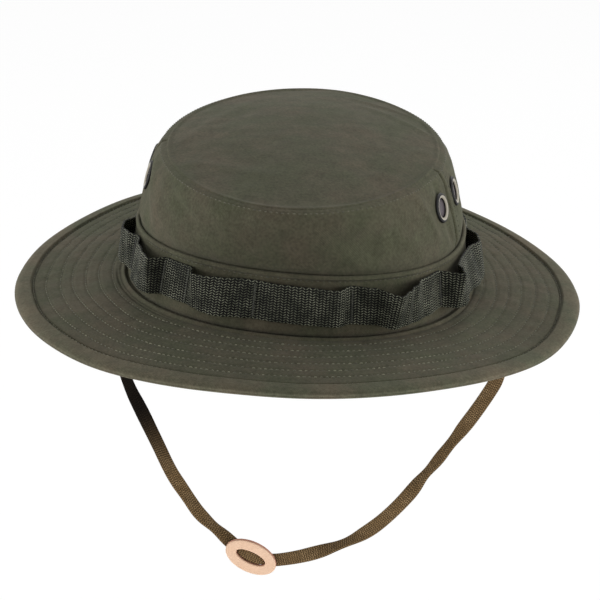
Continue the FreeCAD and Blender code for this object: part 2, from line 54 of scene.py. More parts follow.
# %% Measures of the hat, in millimetres
MM = 0.001
OPENING = (87.0, 101.4, 2.09)        # half width, half length and squareness of the oval
SEAM_LIFT = 2.9
BAND_TOP = (82.8, 96.6, 2.09)
BAND_TOP_HEIGHT, BAND_TOP_LIFT = 28.4, 3.5
TOP = (69.0, 98.9, 1.96)
TOP_SHIFT, TOP_SEAM_HEIGHT = (-1.4, -1.0), 65.9     # the top leans a little to the right and forward
SHOULDER_DROP, SHOULDER_FULLNESS = 7.0, 3.2
TOP_SEAM_FLAT, DOME_HEIGHT = 4.0, 9.0
CLOTH, LAYER_GAP, SKIRT_DEPTH = 1.2, 0.15, 6.0
BRIM_WIDTH, BRIM_SKEW, BORDER_WIDTH = 57.5, 0.8, 9.5
EDGE_DROOP = [6.5, 9.8, 8.5, 5.0, 8.6, 13.3, 13.7, 11.9, 8.9, 2.1, 0.8, 5.9]
BRIM_CLOTH, BRIM_STACK = 1.0, 3.0
BRIM_INNER = -2.55
ROW_FIRST, ROW_PITCH, ROWS = 8.0, 6.65, 7        # stitched rows on the brim
STITCH_PITCH = 2.7                               # about nine stitches to the inch
SWEATBAND_HEIGHT, SWEATBAND_HANG = 24.0, 3.2
WEBBING_HEIGHT, WEBBING_THICKNESS, WEBBING_RISE = 18.5, 1.5, 6.8
LOOP_REACH = 14.0
# Angle in degrees, and how far the lower and the upper edge stand off as shares of the reach.
WEBBING_RUN = [
    (5, 0.56, 0.49), (9, 0.45, 0.42), (17, 0, 0), (25, 0.08, 0.1), (34, 0, 0), (45, 0.4, 0.6), (56, 0, 0),
    (66, 0.22, 0.35), (76, 0.3, 0.48), (87, 0, 0), (97, 0.25, 0.39), (107, 0.25, 0.39), (117, 0, 0),
    (126, 0.3, 0.48), (135, 0.6, 0.9), (147, 0, 0), (158, 0.3, 0.4), (166, 0.2, 0.25), (175, 0, 0),
    (190, 0, 0), (197, 0.34, 0.4), (202, 0.29, 0.46), (207, 0.09, 0.31), (212, 0, 0), (221, 0.28, 0.27),
    (229, 0.45, 0.5), (232, 0.41, 0.62), (235, 0, 0), (245, 0, 0), (249, 0.14, 0.53), (252, 0.3, 0.5),
    (256, 0.36, 0.29), (262, 0.11, 0.02), (266, 0, 0), (273, 0.09, 0.14), (281, 0.15, 0.23),
    (288, 0.28, 0.43), (293, 0, 0), (299, 0.17, 0.3), (303, 0.75, 1.25), (307, 0.6, 0.92),
    (311, 0.45, 0.58), (318, 0.24, 0.15), (328, 0, 0), (332, 0.55, 0.85), (335, 0.64, 0.62),
    (339, 0.55, 0.25), (344, 0.33, 0.15), (349, 0.33, 0.1), (357, 0.5, 0.15),
]
TAU = 2 * math.pi

# %% [markdown]
# ## One helper for nodes, one for colours
# A node tree is a list of small steps. A single function adds a step with its settings and
# its inputs, so a material below reads from top to bottom. Colours are written as they look
# on a screen and are turned to the linear values that the renderer works with.

# %% Colour, node and material helpers
def colour(hex_code):
    """Linear colour of an sRGB hex value."""
    parts = [int(hex_code[i:i + 2], 16) / 255 for i in (1, 3, 5)]
    return tuple(c / 12.92 if c <= 0.04045 else ((c + 0.055) / 1.055) ** 2.4 for c in parts) + (1.0,)


def add_node(tree, kind, inputs=(), output=0, **settings):
    """Add a node and give one of its outputs.

    inputs maps a socket's name or number to a value or to another node's output.
    """
    node = tree.nodes.new("ShaderNode" + kind)
    for name, value in settings.items():
        setattr(node, name, value)
    for key, value in dict(inputs).items():
        if isinstance(value, bpy.types.NodeSocket):
            tree.links.new(value, node.inputs[key])
        else:
            node.inputs[key].default_value = value
    return node.outputs[output] if node.outputs else None


def new_material(name, surface, *values):
    """Material with the shader that surface(tree, *values) makes."""
    made = bpy.data.materials.new(name)
    made.use_nodes = True
    made.node_tree.nodes.clear()
    add_node(made.node_tree, "OutputMaterial", {0: surface(made.node_tree, *values)})
    print("made", name)
    return made

# %% [markdown]
# ## Cotton twill
# The crown and brim are olive drab cotton twill: a matt cloth whose weft goes over two and under
# one, which draws fine diagonal ribs. Washing leaves it a little greener here and browner there.
# The rib is about half a millimetre on the real cloth and is drawn somewhat coarser, so that it
# still shows as a grain.

# %% Twill material
RIB = 0.85 * MM
# Noise in the cloth: size in millimetres, detail and roughness of the patches, clouds and flecks.
TWILL_NOISE = [(30, 4.0, 0.6), (7, 3.0, 0.6), (1.3, 2.0, 0.7)]


def twill(tree, base, green, brown):
    """Diagonal ribs on the UV map, soft patches of a greener and a browner tone, clouds and flecks."""
    uv = add_node(tree, "UVMap", uv_map="UVMap")
    place = add_node(tree, "TexCoord", output="Object")
    patch, cloud, fleck = (
        add_node(tree, "TexNoise", {"Vector": place, "Scale": 1 / (size * MM), "Detail": detail,
                                    "Roughness": rough})
        for size, detail, rough in TWILL_NOISE)
    tone = add_node(tree, "ValToRGB", {0: patch})
    stops = tone.node.color_ramp.elements
    stops[0].position, stops[0].color = 0.38, colour(green)
    stops[1].position, stops[1].color = 0.64, colour(brown)
    stops.new(0.5).color = colour(base)
    rib = add_node(tree, "TexWave", {"Vector": uv, "Scale": TAU / (10 * math.sqrt(2) * RIB),
                                     "Distortion": 1.2, "Detail": 1.0},
                   output=1, wave_type="BANDS", bands_direction="DIAGONAL")
    level = add_node(tree, "MapRange", {0: cloud, 1: 0.3, 2: 0.7, 3: 0.88, 4: 1.12})
    grain = add_node(tree, "MapRange", {0: fleck, 1: 0.3, 2: 0.7, 3: 0.78, 4: 1.22})
    ribbed = add_node(tree, "MapRange", {0: rib, 3: 0.94, 4: 1.06})
    for part in (grain, ribbed):
        level = add_node(tree, "Math", {0: level, 1: part}, operation="MULTIPLY")
    shade = add_node(tree, "VectorMath", {0: tone, "Scale": level}, operation="SCALE")
    height = add_node(tree, "Math", {0: fleck, 1: 2.0, 2: rib}, operation="MULTIPLY_ADD")
    bump = add_node(tree, "Bump", {"Strength": 0.3, "Distance": 0.12 * MM, "Height": height})
    return add_node(tree, "BsdfPrincipled", {
        "Base Color": shade, "Roughness": 0.95, "Specular IOR Level": 0.15, "Sheen Weight": 0.05,
        "Sheen Roughness": 0.6, "Normal": bump})


olive_twill = new_material("olive drab cotton twill", twill, "#5A5847", "#565744", "#605A4A")
# The brim's soft border gets a paler copy of the twill: painted light, for the light its rounded edge
# catches.
lit_border_twill = new_material("olive drab twill, painted lighter at the lit edge", twill,
                            "#676351", "#5F604D", "#6E6654")
drill_tape = new_material("olive cotton drill tape", twill, "#4C4B3E", "#47483B", "#504C40")

# %% [markdown]
# ## Webbing, braid and thread
# Nylon webbing is woven in a herringbone: each thread lies over its neighbours for a short
# way, and the bright fleck it shows there slants up in one column and down in the next. In
# webbing the columns stand across its length. The braid of the chin strap has finer ones, which
# run along it, and on the wearer's right it is painted nearly black down to the cheek: a painted
# shadow of the brim.

# %% Herringbone material
def herringbone(tree, dark, bright, tint, pitch, column, lengthwise, rough, brim_shadow=None):
    """Flecks on the UV map, one in each pitch of a column, slanting left and right by turns.

    Sizes are in millimetres. The brim shadow gives two distances along the piece for a painted
    shadow of the brim: nearly black before the first, unshaded past the second.
    """
    uv = add_node(tree, "UVMap", uv_map="UVMap")
    u, v = add_node(tree, "SeparateXYZ", {0: uv}).node.outputs[:2]
    over, by = (v, u) if lengthwise else (u, v)
    across = add_node(tree, "Math", {0: over, 1: column * MM}, operation="DIVIDE")
    along = add_node(tree, "Math", {0: by, 1: pitch * MM}, operation="DIVIDE")
    zigzag = add_node(tree, "Math", {0: across, 1: 1.0}, operation="PINGPONG")
    lean = add_node(tree, "Math", {0: zigzag, 1: 0.8, 2: along}, operation="MULTIPLY_ADD")
    turn = add_node(tree, "Math", {0: lean, 1: TAU}, operation="MULTIPLY")
    band = add_node(tree, "Math", {0: turn}, operation="SINE")
    cross = add_node(tree, "Math", {0: across, 1: math.pi}, operation="MULTIPLY")
    gate = add_node(tree, "Math", {0: cross}, operation="SINE")
    gate = add_node(tree, "Math", {0: gate}, operation="ABSOLUTE")
    fleck = add_node(tree, "Math", {0: band, 1: gate}, operation="MULTIPLY")
    place = add_node(tree, "TexCoord", output="Object")
    uneven = add_node(tree, "TexNoise", {"Vector": place, "Scale": 1 / (2.0 * MM), "Detail": 2.0})
    wear_and_highlight = add_node(tree, "Math", {0: uneven, 1: 0.8, 2: fleck}, operation="MULTIPLY_ADD")
    mask = add_node(tree, "MapRange", {0: wear_and_highlight, 1: 0.6, 2: 1.1})
    broad = add_node(tree, "TexNoise", {"Vector": place, "Scale": 1 / (9 * MM), "Detail": 2.0})
    broad = add_node(tree, "MapRange", {0: broad, 1: 0.38, 2: 0.62})
    lit = add_node(tree, "Mix", {0: broad, 6: colour(bright), 7: colour(tint)}, output=2, data_type="RGBA")
    shade = add_node(tree, "Mix", {0: mask, 6: colour(dark), 7: lit}, output=2, data_type="RGBA")
    # Painted shade: the colour is darkened to near black over the start of the piece, for the brim's shadow
    # on the strap.
    if brim_shadow:
        unshaded = add_node(tree, "MapRange", {0: u, 1: brim_shadow[0] * MM, 2: brim_shadow[1] * MM, 3: 0.04},
                         interpolation_type="SMOOTHSTEP")
        shade = add_node(tree, "VectorMath", {0: shade, "Scale": unshaded}, operation="SCALE")
    bump = add_node(tree, "Bump", {"Strength": 0.8, "Distance": 0.3 * MM, "Height": fleck})
    return add_node(tree, "BsdfPrincipled", {
        "Base Color": shade, "Roughness": rough, "Specular IOR Level": 0.12, "Normal": bump})


nylon_webbing = new_material("herringbone nylon webbing", herringbone, "#0B0C09", "#A6A893", "#6F7262",
                             1.25, 1.65, False, 0.6)
# The strap's end on the wearer's right gets a painted shadow of the brim, fading out from 86 to 138 mm along.
strap_braid = new_material("flat brown cotton braid", herringbone, "#5A4830", "#BC9D74", "#A6865C",
                           1.3, 0.95, True, 0.85, (86, 138))

# %% Thread material
def plain_thread(tree, hex_code):
    """Polyester thread: paler from wear at the front of the hat, uneven from stitch to stitch."""
    place = add_node(tree, "TexCoord", output="Object")
    uneven = add_node(tree, "TexNoise", {"Vector": place, "Scale": 1 / (3 * MM), "Detail": 2.0})
    level = add_node(tree, "MapRange", {0: uneven, 1: 0.35, 2: 0.65, 3: 0.4, 4: 1.3})
    back = add_node(tree, "SeparateXYZ", {0: place}, output=1)
    wear_and_light = add_node(tree, "MapRange", {0: back, 1: -100 * MM, 2: 0.0, 3: 1.0, 4: 0.5})
    level = add_node(tree, "Math", {0: level, 1: wear_and_light}, operation="MULTIPLY")
    shade = add_node(tree, "VectorMath", {0: colour(hex_code)[:3], "Scale": level}, operation="SCALE")
    return add_node(tree, "BsdfPrincipled", {"Base Color": shade, "Roughness": 0.7, "Sheen Weight": 0.2})


seam_thread = new_material("olive polyester thread", plain_thread, "#8A8970")
crown_thread = new_material("dull olive polyester thread", plain_thread, "#6C6A55")
tack_thread = new_material("dark bartack thread", plain_thread, "#3C3D32")

# %% [markdown]
# ## Surfaces
# Sewn pieces are shells with two faces. A cross-section that closes on itself, carried round
# the head oval, gives the outer face, the edges and the inner face in one closed skin.

# %% Mesh helpers
def add_object(name, data):
    """New object with its data, linked to the scene."""
    made = bpy.data.objects.new(name, data)
    bpy.context.scene.collection.objects.link(made)
    return made


def grid(*parts):
    """The parts spread over one grid, as the coordinates of its points."""
    return np.stack(np.broadcast_arrays(*parts), -1)


def grid_faces(rows, columns, kept_rows, kept_columns):
    """Corners of a grid's faces; past the last row or column that is kept, the first one comes again."""
    i, j = np.meshgrid(np.arange(rows), np.arange(columns), indexing="ij")
    i2, j2 = (i + 1) % kept_rows, (j + 1) % kept_columns
    corners = [i * kept_columns + j, i2 * kept_columns + j, i2 * kept_columns + j2, i * kept_columns + j2]
    return np.stack(corners, -1).reshape(-1, 4)


def skin(name, points, uv, materials, node, body="hat", slots=None, closed_path=True, poles=False):
    """Closed surface from a grid of points: rows run along the path, columns round the section.

    The last column repeats the first, and so does the last row when the path is closed. An open
    path is closed by its two end sections. With poles, the first and last column are one point.
    The piece rides on a body, and stands for a node of the solids with that node's finish.
    """
    rows, columns = points.shape[0] - 1, points.shape[1] - 1
    kept_rows = rows if closed_path else rows + 1
    kept_columns = columns + 1 if poles else columns
    corners = grid_faces(rows, columns, kept_rows, kept_columns)
    vertices = (points[:kept_rows, :kept_columns] * MM).reshape(-1, 3)
    a, b, c, d = (vertices[corners[:, k]] for k in range(4))
    volume = np.sum(np.cross(a, b) * c) + np.sum(np.cross(a, c) * d)
    uv_corners = (uv * MM).reshape(-1, 2)[grid_faces(rows, columns, rows + 1, columns + 1)]
    if volume < 0:
        corners, uv_corners = corners[:, ::-1], uv_corners[:, ::-1]
    faces, loops = corners.tolist(), [uv_corners.reshape(-1, 2)]
    if not closed_path:
        start = list(range(columns))
        end = [rows * kept_columns + k for k in start]
        faces += [start, end[::-1]] if volume > 0 else [start[::-1], end]
        loops.append(np.zeros((2 * columns, 2)))
    mesh = bpy.data.meshes.new(name)
    mesh.from_pydata(vertices.tolist(), [], faces)
    layer = mesh.uv_layers.new(name="UVMap")
    layer.data.foreach_set("uv", np.concatenate(loops).astype(np.float32).ravel())
    for material in materials:
        mesh.materials.append(material)
    if slots is not None:
        chosen = np.zeros(len(faces), dtype=np.int32)
        chosen[:rows * columns] = np.broadcast_to(slots, (rows, columns)).ravel()
        mesh.polygons.foreach_set("material_index", chosen)
    mesh.shade_smooth()
    if poles:
        work = bmesh.new()
        work.from_mesh(mesh)
        bmesh.ops.remove_doubles(work, verts=work.verts, dist=1e-6)
        work.to_mesh(mesh)
        work.free()
    made = add_object(name, mesh)
    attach(made, body)
    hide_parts(node)
    print("%-24s %6d faces" % (name, len(mesh.polygons)))
    return made

# %% Curves and sections
def arc_length(points):
    """Distance along a line of points, starting from nought."""
    steps = np.linalg.norm(np.diff(points, axis=0), axis=1)
    return np.concatenate([[0.0], np.cumsum(steps)])


def ripple(points, size, seed, waves=14):
    """Smooth unevenness between about -1 and 1: plane waves of about one length, seeded."""
    chosen = np.random.default_rng(seed)
    directions = chosen.normal(size=(waves, 3))
    directions /= np.linalg.norm(directions, axis=1)[:, None]
    lengths = size * chosen.uniform(0.7, 1.5, waves)
    phases = chosen.uniform(0, TAU, waves)
    return np.sin(points @ (directions / lengths[:, None]).T * TAU + phases).sum(-1) / math.sqrt(waves)


def hump(x, width):
    """Bell curve: 1 at nought and almost nothing beyond two widths."""
    return np.exp(-(x / width) ** 2)

def ridges(distance, lines):
    """Ridges and grooves across a seam: a sum of bell curves, each with its distance, width and height."""
    return sum(height * hump(distance - at, width) for at, width, height in lines)


def step_up(x):
    """Smooth step from 0 at nought to 1 at one."""
    x = np.clip(x, 0.0, 1.0)
    return x * x * (3 - 2 * x)


def fuller(wave, power):
    """Sine or cosine with fuller flanks: its sign times its size to a power below one."""
    return np.sign(wave) * np.abs(wave) ** power


def rounded_section(edges, wide, deep, wide_power, deep_power):
    """Rectangle with rounded edges round nought, as two lines: half a side times a fuller cosine or sine."""
    turn = np.linspace(0, TAU, edges + 1)
    return wide / 2 * fuller(np.cos(turn), wide_power), deep / 2 * fuller(np.sin(turn), deep_power)

# %% [markdown]
# ## The hat's lines
# Four lines carry everything: the brim seam, the raised seam on top of the band, the seam of
# the top piece and the brim's edge. Each is a rounded-off oval with a height that changes
# round the head, so a piece only says how far along, out and up from a line it lies.

# %% Lines and faces of the hat
def oval(angle, measures, shift=(0.0, 0.0)):
    """Points and outward normals of |x/a|^n + |y/b|^n = 1, at angles about the centre."""
    a, b, n = measures
    c, s = np.cos(angle), np.sin(angle)
    reach = (np.abs(c / a) ** n + np.abs(s / b) ** n) ** (-1 / n)
    nx = np.sign(c) * np.abs(reach * c / a) ** (n - 1) / a
    ny = np.sign(s) * np.abs(reach * s / b) ** (n - 1) / b
    size = np.hypot(nx, ny)
    return grid(reach * c + shift[0], reach * s + shift[1], 0.0), grid(nx / size, ny / size, 0.0)


def ring(angle, measures, height, out=0.0, shift=(0.0, 0.0)):
    """Line round the head: an oval at a height, moved outward along its normal."""
    point, normal = oval(angle, measures, shift)
    return point + normal * np.asarray(out)[..., None] + grid(0.0, 0.0, height)


def seam_height(angle):
    """Height of the brim seam: it falls at the sides with the cosine of twice the angle."""
    return -SEAM_LIFT * np.cos(2 * angle)


def seam_line(angle, out=0.0, up=0.0):
    """Line of the brim seam."""
    return ring(angle, OPENING, seam_height(angle) + up, out)


def band_top_line(angle, out=0.0, up=0.0):
    """Line of the raised seam on top of the band."""
    return ring(angle, BAND_TOP, BAND_TOP_HEIGHT - BAND_TOP_LIFT * np.cos(2 * angle) + up, out)


def band_face(angle, above_seam, out=0.0):
    """Straight slope between the brim seam and the raised seam, at a height over the first."""
    low, high = seam_line(angle, out), band_top_line(angle, out)
    share = above_seam / (high[..., 2] - low[..., 2])
    return low + (high - low) * share[..., None]


def top_line(angle, out=0.0):
    """Seam of the top piece, at one height."""
    return ring(angle, TOP, TOP_SEAM_HEIGHT, out, TOP_SHIFT)


def wall_face(angle, share, out=0.0):
    """Side wall from the raised seam to the top seam: a straight slope plus a quarter sine of fullness."""
    low, high = band_top_line(angle, out), top_line(angle, out)
    shoulder = 1 - SHOULDER_DROP / (TOP_SEAM_HEIGHT - BAND_TOP_HEIGHT)
    below = np.sin(math.pi / 2 * share / shoulder)
    above = np.cos(math.pi / 2 * (share - shoulder) / (1 - shoulder))
    fullness = SHOULDER_FULLNESS * np.where(share < shoulder, below, above)
    return low + (high - low) * share[..., None] + oval(angle, BAND_TOP)[1] * fullness[..., None]


def round_the_head(angle, values):
    """Smooth closed curve through values spaced evenly round the circle."""
    values = np.asarray(values)
    place = np.mod(angle / TAU * len(values), len(values))
    i = np.floor(place).astype(int)
    f = place - i
    a, b, c, d = (values[(i + k) % len(values)] for k in (-1, 0, 1, 2))
    return 0.5 * (2 * b + (c - a) * f + (2 * a - 5 * b + 4 * c - d) * f ** 2
                  + (3 * b - a - 3 * c + d) * f ** 3)


def brim_face(angle, out, up=0.0):
    """Brim: a straight slope from the seam down to the drooping edge, a little wider on the left."""
    start = seam_height(angle) - LAYER_GAP
    slope = -(round_the_head(angle, EDGE_DROOP) + start) / BRIM_WIDTH
    past_seam = np.maximum(out, 0.0)
    side = out + past_seam * BRIM_SKEW / BRIM_WIDTH * np.cos(angle)
    return ring(angle, OPENING, start + slope * past_seam + up, side)

# %% [markdown]
# ## The camera
# A long lens from a little above and to the wearer's left flattens the hat, so that its
# proportions read true. The camera is turned a few degrees about its own axis.

# %% Camera
CAMERA_DISTANCE, LENS, SENSOR_WIDTH = 1.3026, 151.7, 36.0
CAMERA_AZIMUTH, CAMERA_ELEVATION, CAMERA_ROLL = 7.612, 21.065, 3.912     # in degrees
AIM_RIGHT, AIM_UP = 0.46 * MM, -17.7 * MM         # the point looked at, from the head opening's centre


def place_camera():
    """Camera on a sphere round the origin: moved back, rolled, raised, swung and aimed off the centre."""
    pose = Matrix.Translation((0, 0, CAMERA_DISTANCE))
    for degrees, axis in ((CAMERA_ROLL, "Z"), (90 - CAMERA_ELEVATION, "X"), (CAMERA_AZIMUTH, "Z")):
        pose = Matrix.Rotation(math.radians(degrees), 4, axis) @ pose
    aim_right = math.atan2(AIM_RIGHT, CAMERA_DISTANCE)
    aim_up = math.atan2(AIM_UP, math.hypot(CAMERA_DISTANCE, AIM_RIGHT))
    data = bpy.data.cameras.new("camera")
    data.sensor_width, data.lens = SENSOR_WIDTH, LENS
    camera = add_object("camera", data)
    camera.matrix_world = pose @ Matrix.Rotation(-aim_right, 4, "Y") @ Matrix.Rotation(aim_up, 4, "X")
    bpy.context.scene.camera = camera
    print("camera %.2f m away, %.1f degrees up" % (CAMERA_DISTANCE, CAMERA_ELEVATION))


place_camera()
bpy.context.scene.view_settings.view_transform = "Standard"

# %% [markdown]
# ## The chin strap
# The strap is one length of flat cotton braid, 424 mm from one sewn end to the other. It
# hangs free and turns over a little on its way, so it is a ribbon carried along a smooth
# spline, with a twist that comes and goes.

# %% Chin strap
STRAP_ROUTE = [
    (-85.0, -8.6), (-90.0, -40.0), (-92.5, -73.0), (-73.5, -103.0), (-57.5, -135.0), (-38.5, -159.0),
    (-9.5, -173.0), (8.5, -168.5), (35.5, -158.5), (57.6, -136.4), (81.2, -100.4), (100.5, -65.0),
    (110.0, -44.0), (101.0, -22.5), (85.0, -8.6),
]
STRAP_WIDTH, STRAP_THICKNESS, STRAP_LENGTH = 8.0, 2.0, 423.9
# Where the ribbon turns on edge: share of the length, turn in degrees, share over which it fades.
STRAP_TURNS = [(0.08, -35, 0.04), (0.165, 60, 0.05), (0.34, 45, 0.03), (0.393, 68, 0.025), (0.572, 74, 0.04),
               (0.722, 60, 0.025), (0.775, 55, 0.033), (0.93, -30, 0.04)]
RIBBON_INSET = (0.6, 0.4)            # how much narrower and thinner than the solid strap the ribbon is


def spline_points(route):
    """Points along a quadratic NURBS curve through the route's control points, read from Blender."""
    data = bpy.data.curves.new("strap line", "CURVE")
    data.dimensions, data.resolution_u = "3D", 24
    line = data.splines.new("NURBS")
    line.points.add(len(route) - 1)
    for point, (x, z) in zip(line.points, route):
        point.co = (x * MM, 0, z * MM, 1)
    line.order_u, line.use_endpoint_u = 3, True
    holder = add_object("strap line", data)
    read = bpy.data.meshes.new_from_object(holder)
    points = np.empty(len(read.vertices) * 3)
    read.vertices.foreach_get("co", points)
    bpy.data.objects.remove(holder)
    return points.reshape(-1, 3)


def ribbon(line, run, width, thickness):
    """Ribbon along a line in the XZ plane: an oval-edged section, turned by bell curves.

    It turns about its front edge, so the strap never comes forward into the keeper.
    """
    tangent = np.gradient(line, axis=0)
    tangent /= np.linalg.norm(tangent, axis=1)[:, None]
    front = np.broadcast_to([0.0, -1.0, 0.0], tangent.shape)
    across = np.cross(tangent, front)
    share = run / run[-1]
    twist = sum(math.radians(turn) * hump(share - at, fade) for at, turn, fade in STRAP_TURNS)[:, None]
    side = across * np.cos(twist) + front * np.sin(twist)
    face = front * np.cos(twist) - across * np.sin(twist)
    flat, deep = rounded_section(20, width, thickness, 0.35, 0.8)
    pivot = line - front * np.abs(np.sin(twist)) * width / 2
    points = pivot[:, None] + side[:, None] * flat[:, None] + face[:, None] * deep[:, None]
    return points, grid(run[:, None], flat)


strap_line = spline_points(STRAP_ROUTE) / MM
strap_run = arc_length(strap_line)
print("strap line, mm: %.1f" % strap_run[-1])
strap_points, strap_uv = ribbon(strap_line, strap_run, STRAP_WIDTH - RIBBON_INSET[0],
                                STRAP_THICKNESS - RIBBON_INSET[1])
strap = skin("chin_strap_braid", strap_points, strap_uv, [strap_braid], "chin_strap",
             "chin_strap", closed_path=False)

# %% [markdown]
# ## The keeper
# A leather oval with a long slot slides on the strap and holds it under the chin. It is cut
# from vegetable-tanned hide: pale, smooth on the grain side, darker and pinker where cut.

# %% Leather material
def tanned_leather(tree, face_hex, dark_hex, rough):
    """Smooth vegetable-tanned leather: faint cloudiness and fine pores."""
    place = add_node(tree, "TexCoord", output="Object")
    cloud = add_node(tree, "TexNoise", {"Vector": place, "Scale": 1 / (6 * MM), "Detail": 3.0})
    pores = add_node(tree, "TexVoronoi", {"Vector": place, "Scale": 1 / (0.5 * MM)})
    shade = add_node(tree, "Mix", {0: cloud, 6: colour(face_hex), 7: colour(dark_hex)}, output=2,
                     data_type="RGBA")
    bump = add_node(tree, "Bump", {"Strength": 0.25, "Distance": 0.08 * MM, "Height": pores})
    return add_node(tree, "BsdfPrincipled", {
        "Base Color": shade, "Roughness": rough, "Specular IOR Level": 0.35, "Normal": bump})


keeper_leather = new_material("vegetable-tanned leather", tanned_leather, "#EFCDB2", "#E4BC9C", 0.55)
keeper_edge = new_material("cut leather edge", tanned_leather, "#D9A08A", "#C98F76", 0.75)

# %% Keeper and the fold of strap in its slot
KEEPER_CENTRE, KEEPER_TILT = (-15.0, -169.6), math.radians(20)
KEEPER_LENGTH, KEEPER_WIDTH, KEEPER_THICKNESS = 29.0, 18.0, 3.0
SLOT_LENGTH, SLOT_WIDTH, KEEPER_BACK = 17.0, 6.8, 1.35
FOLD_GAP, FOLD_EDGE, FOLD_RISE, FOLD_BACK = 0.3, 0.9, 1.4, 0.2    # the fold in the slot: clearance and depths
CUT_EDGE = 0.07                                # share of the ring's width that shows the cut edge


def keeper_place(along, across, forward):
    """Point in the keeper's own frame: along its length, across it, and forward from its back."""
    x = KEEPER_CENTRE[0] + along * math.cos(KEEPER_TILT) + across * math.sin(KEEPER_TILT)
    z = KEEPER_CENTRE[1] - along * math.sin(KEEPER_TILT) + across * math.cos(KEEPER_TILT)
    return grid(x, -KEEPER_BACK - forward, z)


def build_keeper():
    """Oval ring: a rounded section goes from the slot's ellipse to the outer ellipse and back."""
    angle = np.linspace(0, TAU, 145)[:, None]
    reach, forward = rounded_section(40, 1.0, KEEPER_THICKNESS, 0.28, 0.42)
    reach, forward = reach + 0.5, forward + KEEPER_THICKNESS / 2
    half_length = (SLOT_LENGTH + (KEEPER_LENGTH - SLOT_LENGTH) * reach) / 2
    half_width = (SLOT_WIDTH + (KEEPER_WIDTH - SLOT_WIDTH) * reach) / 2
    points = keeper_place(half_length * np.cos(angle), half_width * np.sin(angle), forward)
    edge = (np.abs(reach - 0.5) > 0.5 - CUT_EDGE) & (forward < KEEPER_THICKNESS * 0.8)
    return skin("keeper_oval", points, points[..., [0, 2]], [keeper_leather, keeper_edge], "strap_keeper",
                "keeper", slots=edge[:-1].astype(int))


def build_bight():
    """The fold in the slot, from mid strap: a shallow dome over an ellipse, closed by a flat back."""
    angle = np.linspace(0, TAU, 97)[:, None]
    reach = np.concatenate([np.linspace(0, 1, 14), np.linspace(1, 0, 8)])
    dome = FOLD_EDGE + FOLD_RISE * np.sqrt(np.clip(1 - reach ** 4, 0, 1))
    dome[14:] = FOLD_BACK
    along = (SLOT_LENGTH / 2 - FOLD_GAP) * reach * np.cos(angle)
    across = (SLOT_WIDTH / 2 - FOLD_GAP) * reach * np.sin(angle)
    points, uv = keeper_place(along, across, dome), grid(along, across) + STRAP_LENGTH / 2
    return skin("keeper_strap_fold", points, uv, [strap_braid], "strap_bight", "keeper",
                poles=True)


keeper, bight = build_keeper(), build_bight()

# %% [markdown]
# ## Stitches
# A lockstitch shows as a row of short dashes that dive into the cloth at both ends. One small
# capsule with thirty corners, copied along a line as arrays, makes a whole row.

# %% Stitch helper
SPOKES, RINGS = 6, 5
DASH_REACH = np.array([-1.0, -0.7, 0.0, 0.7, 1.0])      # places of the rings, as shares of half a dash
DASH_SIZE = np.array([0.15, 0.8, 1.0, 0.8, 0.15])       # and their radii
DASH_SIDES = grid_faces(RINGS - 1, SPOKES, RINGS, SPOKES)
DASH_ENDS = [[0, 1, 2, 3], [0, 3, 4, 5], [27, 26, 25, 24], [29, 28, 27, 24]]


def read_along(values, run, at):
    """Values known at distances along a line, read at other distances."""
    return np.stack([np.interp(at, run, column) for column in values.T], -1)


def unit(vectors):
    """Vectors of length one."""
    return vectors / (np.linalg.norm(vectors, axis=1)[:, None] + 1e-9)


def stitched_rows(name, rows, material, seed, pitch=STITCH_PITCH, length=1.9, width=0.5, lift=0.15):
    """Dashes along lines: each row is (points, up directions); a dash is a capsule bent down at its ends."""
    chosen = np.random.default_rng(seed)
    centres, alongs, ups = [], [], []
    for line, up in rows:
        run = arc_length(line)
        count = round(run[-1] / pitch)
        at = (np.arange(count) + 0.5 + chosen.uniform(-0.05, 0.05, count)) * run[-1] / count
        centres.append(read_along(line, run, at))
        alongs.append(read_along(line, run, at + 0.3) - centres[-1])
        ups.append(read_along(up, run, at))
    centre, along, up = (np.concatenate(part) for part in (centres, alongs, ups))
    along = unit(along)
    side = unit(np.cross(along, up))
    up = np.cross(side, along)
    uneven = chosen.uniform(0.6, 1.1, len(centre))[:, None, None, None]
    centre, along, side, up = (part[:, None, None] for part in (centre, along, side, up))
    reach, size = DASH_REACH[:, None, None], DASH_SIZE[:, None, None] * width / 2
    turn = (np.arange(SPOKES) * TAU / SPOKES)[:, None]
    sink = lift - width * 0.9 * reach ** 4
    corners = (centre + along * (reach * length / 2) * uneven + side * (size * np.cos(turn))
               + up * (size * np.sin(turn) + sink))
    count = len(centre)
    first = np.arange(count)[:, None, None] * SPOKES * RINGS
    faces = np.concatenate([DASH_SIDES, DASH_ENDS])[:, ::-1] + first
    mesh = bpy.data.meshes.new(name)
    mesh.from_pydata((corners.reshape(-1, 3) * MM).tolist(), [], faces.reshape(-1, 4).tolist())
    mesh.materials.append(material)
    mesh.shade_smooth()
    made = add_object(name, mesh)
    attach(made, "hat")
    print("%-24s %6d stitches" % (name, count))
    return made

# %% [markdown]
# ## The crown's top piece
# An oval of twill, cut flat and eased into the seam, so it swells a little. The seam pulls
# its edge down into a narrow groove.

# %% Crown top
ROUND = np.linspace(0, TAU, 721)
# Soft creases on the top piece: start x, y, end x, y, width and height, in millimetres.
TOP_CREASES = [(14, 76, 46, 60, 2.2, 0.8), (24, 58, 56, 36, 2.6, 0.6), (-58, -20, -40, 40, 4.0, 0.6),
               (-45, -55, -10, -66, 3.5, 0.5), (10, 20, 35, -40, 6.0, -0.6), (40, -45, 56, 0, 3.5, 0.6)]
TOP_RIM = [(0.0, 0.7, -1.6), (2.0, 1.2, 0.3)]    # in from the seam: its groove and the swell beside it
TOP_FADE = 6.0                                   # creases and waves fade out over this much at the rim
TOP_HALF_WIDTH = 80                              # about, for the flat share of the rim


